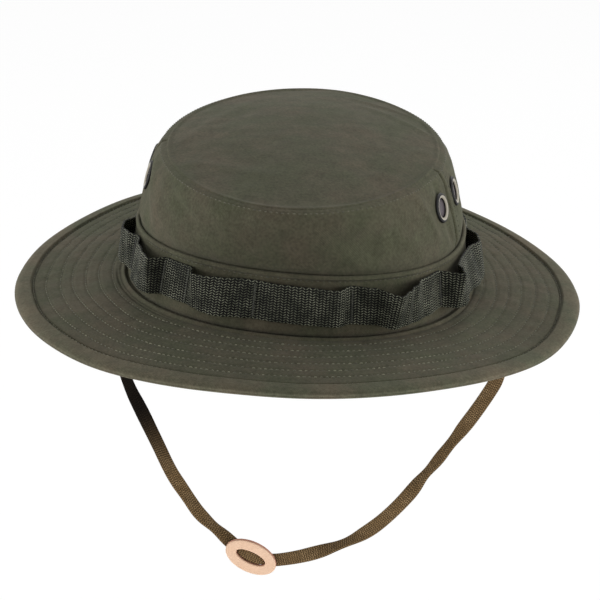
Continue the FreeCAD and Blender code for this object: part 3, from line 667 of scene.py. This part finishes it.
def creases(u, v, lines):
    """Sum of soft ridges: a bell curve across each line, fading out past its two ends."""
    total = np.zeros_like(u)
    for u1, v1, u2, v2, width, height in lines:
        du, dv = u2 - u1, v2 - v1
        length = math.hypot(du, dv)
        along = ((u - u1) * du + (v - v1) * dv) / length
        across = ((u - u1) * dv - (v - v1) * du) / length
        beyond = np.maximum(np.maximum(-along, along - length), 0)
        total += height * hump(across, width) * hump(beyond, 2 * width)
    return total


def top_piece(angle, reach, down=0.0):
    """Dome height falls with the square of the reach; the rim dips into the seam over two millimetres."""
    centre = np.array([*TOP_SHIFT, 0.0])
    radius = oval(angle, TOP, TOP_SHIFT)[0] - centre
    flat = centre + radius * reach[..., None]
    from_rim = (1 - reach) * np.linalg.norm(radius, axis=-1)
    dome = DOME_HEIGHT * (1 - np.clip(reach / (1 - TOP_SEAM_FLAT / TOP_HALF_WIDTH), 0, 1) ** 2)
    folds = 0.35 * ripple(flat, 45, 3) + 0.12 * ripple(flat, 14, 4)
    folds = folds + creases(flat[..., 0], flat[..., 1], TOP_CREASES)
    height = dome + ridges(from_rim, TOP_RIM) + step_up(from_rim / TOP_FADE) * folds
    return flat + grid(0.0, 0.0, TOP_SEAM_HEIGHT + height - down)


def build_crown_top():
    """Polar grid from the middle to the rim, and back along the underside."""
    angle = ROUND[::2, None]
    upper = top_piece(angle, 1 - np.linspace(1, 0, 40)[None] ** 1.8)
    lower = top_piece(angle, np.linspace(1, 0, 18)[None], CLOTH)
    points = np.concatenate([upper, lower], 1)
    skin("crown_top_cloth", points, points[..., :2], [olive_twill], "crown_top", poles=True)


build_crown_top()

# %% [markdown]
# ## The side panels
# A front and a back panel meet in upright seams at the sides. The cloth stands fullest just
# under the top seam, rolls over into it, and falls in shallow creases to the band.

# %% Crown sides
# Creases on the wall: start angle in degrees and height share, end angle and share, width, height.
WALL_CREASES = [
    (205, 0.9, 222, 0.35, 4.0, 0.9), (214, 0.75, 240, 0.15, 4.5, 0.8), (230, 0.85, 243, 0.6, 3.0, -0.7),
    (196, 0.7, 203, 0.1, 4.0, 0.8), (262, 0.8, 275, 0.3, 8.0, -0.8), (300, 0.75, 318, 0.3, 5.0, 0.7),
    (322, 0.9, 330, 0.4, 3.0, 0.8), (338, 0.85, 343, 0.2, 3.0, -0.7), (285, 0.4, 300, 0.1, 5.0, 0.7),
    (30, 0.8, 42, 0.2, 6.0, 0.6), (75, 0.85, 88, 0.3, 7.0, -0.5), (120, 0.7, 136, 0.2, 6.0, 0.6),
    (160, 0.8, 168, 0.3, 5.0, 0.5),
]
WALL_HEIGHT = TOP_SEAM_HEIGHT - BAND_TOP_HEIGHT
WALL_MM_PER_DEGREE = 1.55
FADE_FOOT, FADE_TOP = 8.0, 6.0                   # creases fade out over these at the band and the top seam
WALL_RIM = [(0.0, 0.6, -1.6), (1.5, 0.8, 0.45)]  # down from the top seam: its groove and the swell below
WALL_FOOT = [(2.2, 1.4, -0.8)]                   # up from the raised seam
SIDE_SEAM = [(0.0, 0.7, -1.0)]                   # back from the side seam
FELL_WIDTH, FELL_EDGE, FELL_THICKNESS = 7.0, 0.8, 0.5    # the seam allowance, folded back and stitched down
SIDE_SEAM_SHIFT = -16.5


def wall_relief(angle, share):
    """How far the cloth stands out of the plain wall: creases, unevenness and the seams."""
    height = share * WALL_HEIGHT
    sizes = np.array([WALL_MM_PER_DEGREE, WALL_HEIGHT, WALL_MM_PER_DEGREE, WALL_HEIGHT, 1.0, 1.0])
    spot = wall_face(angle, share)
    relief = creases(np.degrees(angle) % 360 * WALL_MM_PER_DEGREE, height, np.array(WALL_CREASES) * sizes)
    relief = relief + 0.4 * ripple(spot, 42, 11) + 0.2 * ripple(spot, 13, 12)
    relief = relief * step_up(height / FADE_FOOT) * step_up((WALL_HEIGHT - height) / FADE_TOP)
    relief = relief + ridges(WALL_HEIGHT - height, WALL_RIM) + ridges(height, WALL_FOOT)
    behind_seam = spot[..., 1] - SIDE_SEAM_SHIFT
    felled = step_up(behind_seam / FELL_EDGE) * step_up((FELL_WIDTH - behind_seam) / FELL_EDGE)
    return relief + ridges(behind_seam, SIDE_SEAM) + FELL_THICKNESS * felled


def seam_angle(share, side):
    """Angle where a side seam crosses the wall, sought by steps: the seam runs straight across the head."""
    angle = np.full_like(share, 0.0 if side > 0 else math.pi)
    for _ in range(8):
        spot = wall_face(angle, share)
        angle = angle - (spot[..., 1] - SIDE_SEAM_SHIFT) / spot[..., 0]
    return angle


def band_height(angle):
    """Height of the band between its two seams."""
    return (band_top_line(angle) - seam_line(angle))[..., 2]


def wall_section(first_side, last_side):
    """Closed section of a panel: up the outer face, over the rim, down the inner face and skirt."""
    share = np.concatenate([np.linspace(0.06, 0.92, 40)[:-1], np.linspace(0.92, 1, 16)])[None]
    along = np.linspace(0, 1, 421)[:, None]

    def across_panel(share):
        start, end = seam_angle(share, first_side), seam_angle(share, last_side)
        return start + (np.where(end < start, end + TAU, end) - start) * along

    angle, share = np.broadcast_arrays(across_panel(share), share)
    relief = wall_relief(angle, share)
    outer = wall_face(angle, share, relief)
    inner = wall_face(angle[:, ::-3], share[:, ::-3], relief[:, ::-3] - CLOTH)
    foot = across_panel(np.zeros((1, 1)))
    near = -(CLOTH + LAYER_GAP)
    skirt = [(-SKIRT_DEPTH, near), (1.2, near), (1.2, near - CLOTH), (-SKIRT_DEPTH, near - CLOTH)]
    start, up, down, end = (band_face(foot, band_height(foot) + above, out) for above, out in skirt)
    return angle[:, 0], np.concatenate([start, up, outer, inner, down, end, start], 1)

# %% Side panels with their eyelet holes
EYELET_HEIGHT, EYELET_FROM_SEAM, EYELET_REACH = 50.9, 14.1, BAND_TOP[0] * 0.9
HOLE_RADIUS, HOLE_DEPTH = 5.6, 14.0
SMALL_STEP = 0.02                                # for the slope of the wall at an eyelet


def eyelet_frames():
    """Name, centre and outward direction of each eyelet, two on each side of the side seams."""
    frames = []
    for side, side_name in ((1, "left"), (-1, "right")):
        for end, end_name in ((-1, "front"), (1, "back")):
            angle = np.array(math.atan2(SIDE_SEAM_SHIFT + end * EYELET_FROM_SEAM, side * EYELET_REACH))
            low, high = band_top_line(angle)[2], top_line(angle)[2]
            share = np.array((EYELET_HEIGHT - low) / (high - low))
            along = wall_face(angle + SMALL_STEP, share) - wall_face(angle - SMALL_STEP, share)
            up = wall_face(angle, share + SMALL_STEP) - wall_face(angle, share - SMALL_STEP)
            outward = np.cross(along, up)
            outward /= np.linalg.norm(outward)
            frames.append((end_name + "_" + side_name, wall_face(angle, share), outward))
    return frames


def bore(piece, frames):
    """Cut round holes through a piece, one cylinder for each eyelet that lies on it."""
    for _, centre, outward in frames:
        turn = Vector(outward).to_track_quat("Z", "Y").to_matrix().to_4x4()
        cutter_mesh = bpy.data.meshes.new("cutter")
        work = bmesh.new()
        bmesh.ops.create_cone(work, cap_ends=True, segments=48, radius1=HOLE_RADIUS * MM,
                              radius2=HOLE_RADIUS * MM, depth=HOLE_DEPTH * MM,
                              matrix=Matrix.Translation(Vector(centre) * MM) @ turn)
        work.to_mesh(cutter_mesh)
        work.free()
        cutter = add_object("cutter", cutter_mesh)
        cut = piece.modifiers.new("eyelet hole", "BOOLEAN")
        cut.operation, cut.object, cut.solver = "DIFFERENCE", cutter, "EXACT"
        bpy.context.view_layer.update()
        bored = piece.evaluated_get(bpy.context.evaluated_depsgraph_get())
        piece.data = bpy.data.meshes.new_from_object(bored)
        piece.modifiers.clear()
        bpy.data.objects.remove(cutter)


def build_wall(end, first_side, last_side):
    """Front or back panel between two side seams; one row's length up the section serves the whole panel."""
    angle, points = wall_section(first_side, last_side)
    uv = grid(arc_length(band_top_line(angle))[:, None], arc_length(points[200]))
    panel = skin("crown_" + end + "_cloth", points, uv, [olive_twill], "crown_side_" + end,
                 closed_path=False)
    bore(panel, [eyelet for eyelet in EYELETS if eyelet[0].startswith(end)])


EYELETS = eyelet_frames()
build_wall("front", -1, 1)
build_wall("back", 1, -1)

# %% [markdown]
# ## The band
# The band is folded over at its top, laps the side panels and is stitched down through all
# layers, so its upper edge stands up as a rounded ridge with a row of stitches under it.

# %% Crown band
# Down from the band's top: the ridge, the stitched dip and a swell. Up from the brim seam: its dip.
BAND_EDGE = [(0.5, 0.8, 0.95), (2.1, 0.6, -0.5), (4.2, 1.2, 0.2)]
BAND_FOOT = [(0.0, 0.8, -0.5)]
LIP_RISE = 0.9


def build_band():
    """Closed section: up the outer face, over the folded lip, down the inner face."""
    angle = ROUND[:, None]
    tall = band_height(angle)
    height = tall * np.linspace(0, 1, 72)[None] ** 0.6
    uneven = 0.25 * ripple(band_face(angle, height), 24, 21)
    uneven = uneven * step_up(height / 5) * step_up((tall - height) / 8)
    relief = ridges(tall - height, BAND_EDGE) + uneven + ridges(height, BAND_FOOT)
    outer = band_face(angle, height, relief)
    turn = np.linspace(0, math.pi, 9)[None, 1:]
    start = ridges(0.0, BAND_EDGE)
    lip = band_top_line(angle, start - (start + CLOTH) * (1 - np.cos(turn)) / 2, LIP_RISE * np.sin(turn))
    inner = [band_face(angle, tall * share, -CLOTH) for share in (0.97, 0.66, 0.33, 0.0)]
    points = np.concatenate([outer, lip, *inner, outer[:, :1]], 1)
    uv = grid(arc_length(seam_line(ROUND))[:, None], arc_length(points[90]))
    skin("crown_band_cloth", points, uv, [olive_twill], "crown_band")


build_band()

# %% [markdown]
# ## The crown's stitches
# A felled seam is sewn through twice, so a row of stitches runs beside each one: under the top
# seam, below the raised seam and behind each side seam.

# %% Crown stitches
ROW_INSET = 1.6                     # from the top seam, and from the free edge of a side seam's allowance
BAND_ROW = BAND_EDGE[1][0]          # the raised seam's row lies in the band's dip


def row_with_normal(lower, line, upper):
    """Line and the outward direction of the face it lies on, from a line just below and one just above."""
    return line, unit(np.cross(np.gradient(line, axis=0), upper - lower))


def wall_line(angle, share):
    """Line on the finished face of the side wall."""
    return wall_face(angle, share, wall_relief(angle, share))


def side_seam_row(side):
    """Row up the wall behind a side seam, at the free edge of the seam allowance."""
    share = np.linspace(0.1, 0.96, 90)
    angle = seam_angle(share, side) + side * (FELL_WIDTH - ROW_INSET) / BAND_TOP[0]
    return wall_line(angle, share), oval(angle, BAND_TOP)[1]


top_share = np.full_like(ROUND, 1 - ROW_INSET / WALL_HEIGHT)
top_row = [wall_line(ROUND, top_share + step) for step in (-0.01, 0.0, 0.01)]
band_row = [band_face(ROUND, band_height(ROUND) - down, ridges(down, BAND_EDGE))
            for down in (BAND_ROW + 0.2, BAND_ROW, BAND_ROW - 0.2)]
crown_rows = [row_with_normal(*top_row), row_with_normal(*band_row), side_seam_row(1), side_seam_row(-1)]
stitched_rows("crown_stitches", crown_rows, crown_thread, 4, width=0.45, lift=0.08)

# %% [markdown]
# ## The brim
# Two layers of twill over a stiff interlining are sewn together in rings, which quilts the
# brim into shallow ribs. Outside the last ring the edge is left soft and puffs up, and it is
# drawn a little paler than the rest: painted light on its rounded edge.

# %% Brim
ROW_WANDER = [(0.3, 3, 1.7), (0.2, 7, 2.9), (0.12, 17, 1.0)]     # how far, waves round the brim, shift by row
ROW_GROOVE = [(0.0, 0.8, -0.35)]
# Out from the seam: the ridge and the grooves on both sides of it.
BRIM_SEAM = [(1.7, 0.8, 0.75), (0.2, 0.55, -1.1), (3.4, 0.6, -0.35)]
# A crease beside the ridge, on the wearer's right front: between these angles, in degrees.
SIDE_CREASE = [(4.9, 0.7, -0.55)]
CREASE_START, CREASE_END, CREASE_FADE = 193, 247, 12
# The soft border: its groove's depth, how high it puffs up, and how far its fold goes down at the edge.
BORDER_GROOVE, BORDER_PUFF, BORDER_FOLD = 1.3, 0.9, 1.45
FLAT = np.array([1.0, 1.0, 0.0])


def row_out(row, angle):
    """Distance of a stitched row from the seam; a hand-fed row wanders by a few tenths."""
    wander = sum(size * np.sin(count * angle + shift * row) for size, count, shift in ROW_WANDER)
    return ROW_FIRST + ROW_PITCH * row + wander


def brim_relief(angle, out):
    """Skin's height over the plain brim: a groove at each row, a ridge by the seam, the puffed border."""
    start = row_out(ROWS - 1, angle)
    grooves = sum(ridges(out - row_out(row, angle), ROW_GROOVE) for row in range(ROWS - 1))
    degrees = np.degrees(angle) % 360
    crease = step_up((degrees - CREASE_START) / CREASE_FADE) * step_up((CREASE_END - degrees) / CREASE_FADE)
    uneven = 0.12 * ripple(brim_face(angle, out) * FLAT, 11, 31)
    uneven = uneven * step_up(out / 8) * step_up((start - out) / 5)
    relief = grooves + ridges(out, BRIM_SEAM) + crease * ridges(out, SIDE_CREASE) + uneven
    relief = relief - BORDER_GROOVE * hump(out - start, 0.6)
    middle = (start + BRIM_WIDTH) / 2
    rise = -BORDER_GROOVE + (BORDER_GROOVE + BORDER_PUFF) * step_up((out - start) / 1.5)
    fall = np.sqrt(np.clip(1 - ((out - middle) / (BRIM_WIDTH - middle)) ** 2, 0, 1))
    border = np.where(out < middle, rise, BORDER_PUFF - (BORDER_FOLD + BORDER_PUFF) * (1 - fall))
    return np.where(out < start, relief, border)


def brim_sag(angle, out):
    """Slow waves in the whole brim, the same for both of its layers."""
    return 0.45 * ripple(brim_face(angle, out) * FLAT, 70, 41) * step_up(out / 25)


def build_brim(layer, upward):
    """One skin: its outer face from the seam to the very edge, and back along its hidden face."""
    angle = ROUND[:, None]
    inner = np.linspace(BRIM_INNER, 0, 3)[:-1]
    near_seam = np.linspace(0, 6, 21)[:-1]
    quilted = np.linspace(6, BRIM_WIDTH - BORDER_WIDTH - 1.5, 70)
    edge = BRIM_WIDTH - (BORDER_WIDTH + 1.2) * np.cos(np.linspace(0, math.pi / 2, 26))
    outer = np.concatenate([inner, near_seam, quilted, edge])[None]
    back = np.array([[BRIM_WIDTH - 1.0, BRIM_WIDTH - BORDER_WIDTH, 24.0, BRIM_INNER]])
    under = np.array([[-BORDER_FOLD, -BRIM_CLOTH, -BRIM_CLOTH, -BRIM_CLOTH]])
    out = np.concatenate([outer, back], 1)
    up = np.concatenate([brim_relief(angle, outer), under + 0 * angle], 1)
    up = (up if upward else -BRIM_STACK - up) + brim_sag(angle, out)
    points = brim_face(angle, out, up)
    points = np.concatenate([points, points[:, :1]], 1)
    # Painted light: past the last row the border takes the paler copy of the twill.
    wear_and_light = (out > row_out(ROWS - 1, angle) + 0.6)[:-1]
    skin("brim_" + layer + "_cloth", points, points[..., :2], [olive_twill, lit_border_twill], "brim_" + layer,
         slots=wear_and_light.astype(int))


build_brim("upper", True)
build_brim("lower", False)

# %% Brim stitches
STITCH_SINK = 0.3


def brim_rows(upward):
    """The stitched rings on one side of the brim, as lines with their up directions."""
    up = -STITCH_SINK if upward else STITCH_SINK - BRIM_STACK
    rows = []
    for row in range(ROWS):
        out = row_out(row, ROUND)
        line = brim_face(ROUND, out, up + brim_sag(ROUND, out))
        rows.append((line, np.broadcast_to([0.0, 0.0, 1.0 if upward else -1.0], line.shape)))
    return rows


stitched_rows("brim_upper_stitches", brim_rows(True), seam_thread, 5)
stitched_rows("brim_lower_stitches", brim_rows(False), seam_thread, 6)

# %% [markdown]
# ## The webbing
# One length of webbing goes round the band. It is tacked down at intervals and left slack
# between, which makes the loops that hold twigs and scrim.

# %% Webbing
def stand_off(angle, upward):
    """Distance off the band: cosine easing along each edge, and a straight line from edge to edge."""
    degrees = np.degrees(angle) % 360
    run = np.array([WEBBING_RUN[-1]] + WEBBING_RUN + [WEBBING_RUN[0]], float)
    run[0, 0] -= 360
    run[-1, 0] += 360
    i = np.clip(np.searchsorted(run[:, 0], degrees, side="right") - 1, 0, len(run) - 2)
    ease = (1 - np.cos(math.pi * (degrees - run[i, 0]) / (run[i + 1, 0] - run[i, 0]))) / 2
    lower, upper = (run[i, k] + (run[i + 1, k] - run[i, k]) * ease for k in (1, 2))
    return (lower + (upper - lower) * upward) * LOOP_REACH


def build_webbing():
    """Strip with rounded edges, carried round the band at its stand-off; gives the distance along it."""
    angle = np.linspace(0, TAU, 1441)[:, None]
    middle = WEBBING_RISE + WEBBING_HEIGHT / 2
    flat, deep = rounded_section(48, WEBBING_HEIGHT, WEBBING_THICKNESS, 0.25, 0.5)
    out = LAYER_GAP + stand_off(angle, 0.5 - flat / WEBBING_HEIGHT) + WEBBING_THICKNESS / 2 + deep
    run = arc_length(band_face(angle[:, 0], middle, stand_off(angle[:, 0], 0.5)))
    skin("branch_loop_strip", band_face(angle, middle - flat, out), grid(run[:, None], middle - flat),
         [nylon_webbing], "branch_loop_webbing")
    return run


print("webbing length, mm: %.0f" % build_webbing()[-1])

# %% [markdown]
# ## Bartacks
# A bartack is a dense zigzag of thread, sewn up and down over the webbing at each place where it
# meets the band. The same stitch helper makes it: each leg of the zigzag is one stitch.

# %% Bartacks
TACK_WIDTH, TACK_STEP, TACK_MARGIN, TACK_LIFT = 1.3, 0.5, 1.5, 0.25


def bartack(degrees):
    """Zigzag up the webbing's face: legs a stitch wide, each a short step above the last."""
    leg = np.arange(int((WEBBING_HEIGHT - 2 * TACK_MARGIN) / TACK_STEP) + 1)
    sway = np.where(leg % 2 == 0, -0.5, 0.5) * TACK_WIDTH
    angle = np.full(len(leg), math.radians(degrees))
    normal = oval(angle, OPENING)[1]
    height = WEBBING_RISE + TACK_MARGIN + leg * TACK_STEP
    line = band_face(angle, height, LAYER_GAP + WEBBING_THICKNESS + TACK_LIFT)
    return line + grid(-normal[:, 1], normal[:, 0], 0.0) * sway[:, None], normal


sewn_at = [degrees for degrees, lower, upper in WEBBING_RUN if lower == upper == 0]
tacks = stitched_rows("webbing_bartack_thread", [bartack(degrees) for degrees in sewn_at], tack_thread, 7,
                      pitch=math.hypot(TACK_WIDTH, TACK_STEP), length=1.7, width=0.55, lift=0.1)
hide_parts("webbing_bartacks")

# %% [markdown]
# ## Inside the hat
# A cotton tape lines the opening and hides the brim's inner edge. The strap's ends are pressed
# flat and stand between that tape and the band.

# %% Sweatband and strap ends
TAPE_FACE = -2 * (CLOTH + LAYER_GAP)             # the tape lies behind the band and the side panel
TAPE_WAVE, TAPE_ROWS = 0.35, (1.2, SWEATBAND_HEIGHT - SWEATBAND_HANG - 2.0)
STRAP_END_LOW, STRAP_END_HIGH, STRAP_END_DEEP, STRAP_END_MIDDLE = -4.4, 14.6, 1.16, 0.6


def opening_face(angle, height, out):
    """Face that hangs plumb below the brim seam and follows the band above it."""
    below = seam_line(angle, out, np.minimum(height, 0.0))
    above = band_face(angle, np.maximum(height, 0.0), out)
    return np.where((np.asarray(height) < 0)[..., None], below, above)


def build_sweatband():
    """Cloth tape round the inside of the opening, slightly rippled at its free upper edge."""
    angle = ROUND[::2, None]
    flat, deep = rounded_section(56, SWEATBAND_HEIGHT, CLOTH, 0.2, 0.5)
    height = SWEATBAND_HEIGHT / 2 - SWEATBAND_HANG - flat
    wave = TAPE_WAVE * (1 + np.sin(23 * angle + 2 * np.sin(5 * angle))) * step_up(height / SWEATBAND_HEIGHT)
    points = opening_face(angle, height, TAPE_FACE - CLOTH / 2 + deep - wave)
    uv = grid(arc_length(seam_line(angle[:, 0]))[:, None], height)
    skin("sweatband_tape", points, uv, [drill_tape], "sweatband")
    inward = -oval(ROUND, OPENING)[1]
    rows = [(opening_face(ROUND, up, TAPE_FACE - CLOTH - 0.1 - TAPE_WAVE * up / SWEATBAND_HEIGHT), inward)
            for up in TAPE_ROWS]
    stitched_rows("sweatband_stitches", rows, seam_thread, 8)


def build_strap_end(side, name):
    """Flat end of the strap, from just above the hinge line up between the band and the tape."""
    up = np.linspace(STRAP_END_LOW, STRAP_END_HIGH, 24)[:, None]
    across, deep = rounded_section(24, STRAP_WIDTH, STRAP_END_DEEP, 0.3, 0.6)
    inward = -side * (CLOTH + LAYER_GAP + STRAP_END_MIDDLE + deep)
    points = band_face(np.array(0.0 if side > 0 else math.pi), up) + grid(inward, across, 0 * up)
    skin("strap_end_braid_" + name, points, grid(up, across), [strap_braid], "strap_end_" + name,
         closed_path=False)


build_sweatband()
build_strap_end(1, "left")
build_strap_end(-1, "right")

# %% [markdown]
# ## Eyelets
# A stamped brass eyelet is rolled over a washer and painted black, with a disc of fine wire
# cloth held in its bore. Its inner rim is drawn pale: a painted highlight on the rolled edge.

# %% Painted metal and wire cloth
def black_paint(tree, hex_code, rough):
    """Semi-gloss paint on brass: a thin even film with faint unevenness."""
    place = add_node(tree, "TexCoord", output="Object")
    uneven = add_node(tree, "TexNoise", {"Vector": place, "Scale": 1 / (2 * MM), "Detail": 3.0})
    bump = add_node(tree, "Bump", {"Strength": 0.15, "Distance": 0.05 * MM, "Height": uneven})
    return add_node(tree, "BsdfPrincipled", {
        "Base Color": colour(hex_code), "Roughness": rough, "Specular IOR Level": 0.25, "Normal": bump})


def wire_cloth(tree, pitch):
    """Square wire cloth: bright where a wire crosses over, and dark in the holes between: painted shade for
    the dark inside of the hat seen through them.
    """
    uv = add_node(tree, "UVMap", uv_map="UVMap")
    waves = []
    for across in add_node(tree, "SeparateXYZ", {0: uv}).node.outputs[:2]:
        turn = add_node(tree, "Math", {0: across, 1: TAU / pitch}, operation="MULTIPLY")
        waves.append(add_node(tree, "Math", {0: turn}, operation="COSINE"))
    wires = add_node(tree, "Math", {0: waves[0], 1: waves[1]}, operation="MAXIMUM")
    mask = add_node(tree, "MapRange", {0: wires, 1: 0.1, 2: 0.8})
    # The dark colour of the holes is painted shade, for the hat's inside seen through the wire cloth.
    shade = add_node(tree, "Mix", {0: mask, 6: colour("#1C181B"), 7: colour("#5C5158")}, output=2,
                     data_type="RGBA")
    bump = add_node(tree, "Bump", {"Strength": 0.6, "Distance": 0.1 * MM, "Height": wires})
    return add_node(tree, "BsdfPrincipled", {"Base Color": shade, "Roughness": 0.5, "Normal": bump})


eyelet_black = new_material("black painted brass", black_paint, "#0B0A0A", 0.5)
# Painted highlight: the pale rim stands in for the bright reflection on the eyelet's rolled edge.
highlight_rim = new_material("eyelet rim painted pale as a highlight", black_paint, "#B7B0A0", 0.4)
screen_wire = new_material("blackened wire cloth", wire_cloth, 0.7 * MM)

# %% Eyelets and screens
FLANGE_MIDDLE, FLANGE_HALF, FLANGE_FOOT, FLANGE_HEIGHT = 6.2, 1.3, 0.1, 1.0
BARREL_RADIUS, CURL_MIDDLE, CURL_HALF, INNER_END = 5.35, 5.7, 0.55, -3.2
HIGHLIGHT_RADIUS = 5.95                               # inside this the flange is painted pale: a painted highlight on the rolled edge
SCREEN_PROFILE = [(0, -0.2), (2.4, -0.25), (4.6, -0.3), (4.6, -0.6), (2.4, -0.6), (0, -0.6)]


def turned(name, profile, eyelet, materials, node, slots=None, poles=False):
    """Profile of (radius, height) pairs spun about the eyelet's axis."""
    eyelet_name, centre, outward = eyelet
    radius, height = np.array(profile, float).T
    spin = np.linspace(0, TAU, 65)[:, None]
    first = np.cross(outward, [0.0, 0.0, 1.0])
    first /= np.linalg.norm(first)
    flat = grid(radius * np.cos(spin), radius * np.sin(spin))
    points = centre + flat @ np.stack([first, np.cross(outward, first)]) + height[:, None] * outward
    skin(name + eyelet_name, points, flat, materials, node + eyelet_name, slots=slots, poles=poles)


def eyelet_profile():
    """Rolled flange outside, straight barrel, lip curled over the washer inside; and where the rim is painted
    pale, a painted highlight.
    """
    turn = np.linspace(0, math.pi, 17)
    flange = grid(FLANGE_MIDDLE - FLANGE_HALF * np.cos(turn), FLANGE_FOOT + FLANGE_HEIGHT * np.sin(turn))
    barrel = [(BARREL_RADIUS, 0.05), (BARREL_RADIUS, INNER_END + 0.6)]
    turn = np.linspace(0, math.pi, 7)
    curl = grid(CURL_MIDDLE + CURL_HALF * np.cos(turn), INNER_END + CURL_HALF - 0.5 * np.sin(turn))
    section = np.concatenate([flange, barrel, curl])
    # The inner part of the flange's roll gets the pale rim material: a painted highlight.
    wear_and_highlight = (section[:, 0] < HIGHLIGHT_RADIUS) & (section[:, 1] > FLANGE_FOOT)
    return np.concatenate([section, section[:1]]), wear_and_highlight.astype(int)


profile, wear_and_highlight = eyelet_profile()
for eyelet in EYELETS:
    turned("eyelet_ring_", profile, eyelet, [eyelet_black, highlight_rim], "eyelet_", slots=wear_and_highlight)
    turned("eyelet_mesh_", SCREEN_PROFILE, eyelet, [screen_wire], "eyelet_screen_",
           poles=True)

# %% [markdown]
# ## Hidden pieces
# The stiff interlining and the eyelets' washers keep their plain shapes and only get a material.

# %% Interlining and washers
interlining_canvas = new_material("undyed stiff cotton canvas", twill, "#8E8878", "#8A8675", "#948C7A")
hidden = {"brim_interlining": interlining_canvas}
hidden.update(("eyelet_washer_" + name, eyelet_black) for name, _, _ in EYELETS)
for node, material in hidden.items():
    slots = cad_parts[node].material_slots
    for place in slots:
        place.material = material
    print(node, "slots:", len(slots))

# %% [markdown]
# ## Floor and light
# The hat is held up over a wide pale floor. White surroundings give a low even level. Softboxes
# high behind and at both sides shape the crown and leave its front calmer, and a narrow one
# below the brim lights the strap and the keeper.

# %% Floor and light
FLOOR_HALF, FLOOR_LEVEL, WORLD_LEVEL = 6.0, -0.3, 0.24
# Each softbox, aimed at the hat: its place in metres, width, height and power.
SOFTBOXES = {
    "left softbox": ((-1.5, 0.1, 0.5), 1.0, 1.0, 5),
    "right softbox": ((1.5, 0.2, 0.6), 1.0, 1.0, 9),
    "top softbox": ((0.1, 1.3, 1.3), 1.2, 1.2, 9),
    "low left softbox": ((-1.3, -0.6, 0.1), 0.7, 0.7, 7),
    "low right softbox": ((1.3, -0.6, 0.1), 0.7, 0.7, 4.5),
    "strap light": ((0.05, -0.33, -0.25), 0.5, 0.04, 0.6),
}


def shown_directly(tree):
    """1 for rays from the camera and for mirrored and refracted ones, 0 for the light on the object."""
    rays = add_node(tree, "LightPath").node.outputs
    bent = add_node(tree, "Math", {0: rays["Is Glossy Ray"], 1: rays["Is Transmission Ray"]},
                    operation="MAXIMUM")
    return add_node(tree, "Math", {0: rays["Is Camera Ray"], 1: bent}, operation="MAXIMUM")


def lit_paper(tree):
    """Matt white paper: shown nearly white, with the hat's shadow kept, and clear to a camera below it."""
    paper = add_node(tree, "BsdfDiffuse", {"Color": colour("#F4F4F4")})
    glow = add_node(tree, "Emission", {"Color": (1, 1, 1, 1), "Strength": 1.07})
    share = add_node(tree, "Math", {0: shown_directly(tree), 1: 0.85}, operation="MULTIPLY")
    mixed = add_node(tree, "MixShader", {0: share, 1: paper, 2: glow})
    behind = add_node(tree, "NewGeometry", output="Backfacing")
    camera = add_node(tree, "LightPath", output="Is Camera Ray")
    below = add_node(tree, "Math", {0: behind, 1: camera}, operation="MULTIPLY")
    return add_node(tree, "MixShader", {0: below, 1: mixed, 2: add_node(tree, "BsdfTransparent")})


def build_floor():
    """Wide pale floor, well below the strap of the hat that is held up."""
    mesh = bpy.data.meshes.new("floor")
    corners = [(x * FLOOR_HALF, y * FLOOR_HALF, FLOOR_LEVEL) for x, y in ((-1, -1), (1, -1), (1, 1), (-1, 1))]
    mesh.from_pydata(corners, [], [(0, 1, 2, 3)])
    mesh.materials.append(new_material("matt white paper", lit_paper))
    add_object("floor", mesh)


def build_world():
    """Even white surroundings; plain white where the camera looks past the floor."""
    world = bpy.data.worlds.new("studio")
    bpy.context.scene.world = world
    world.use_nodes = True
    tree = world.node_tree
    tree.nodes.clear()
    strength = add_node(tree, "MapRange", {0: shown_directly(tree), 3: WORLD_LEVEL, 4: 1.0})
    add_node(tree, "OutputWorld", {0: add_node(tree, "Background", {0: (1, 1, 1, 1), 1: strength})})


def build_softboxes():
    """Rectangular lamps, each turned to face the hat."""
    for name, (place, width, height, power) in SOFTBOXES.items():
        data = bpy.data.lights.new(name, "AREA")
        data.shape, data.size, data.size_y, data.energy = "RECTANGLE", width, height, power
        lamp = add_object(name, data)
        lamp.location = place
        lamp.rotation_euler = (-Vector(place)).to_track_quat("-Z", "Y").to_euler()


build_floor()
build_world()
build_softboxes()
print("softboxes:", len(SOFTBOXES))
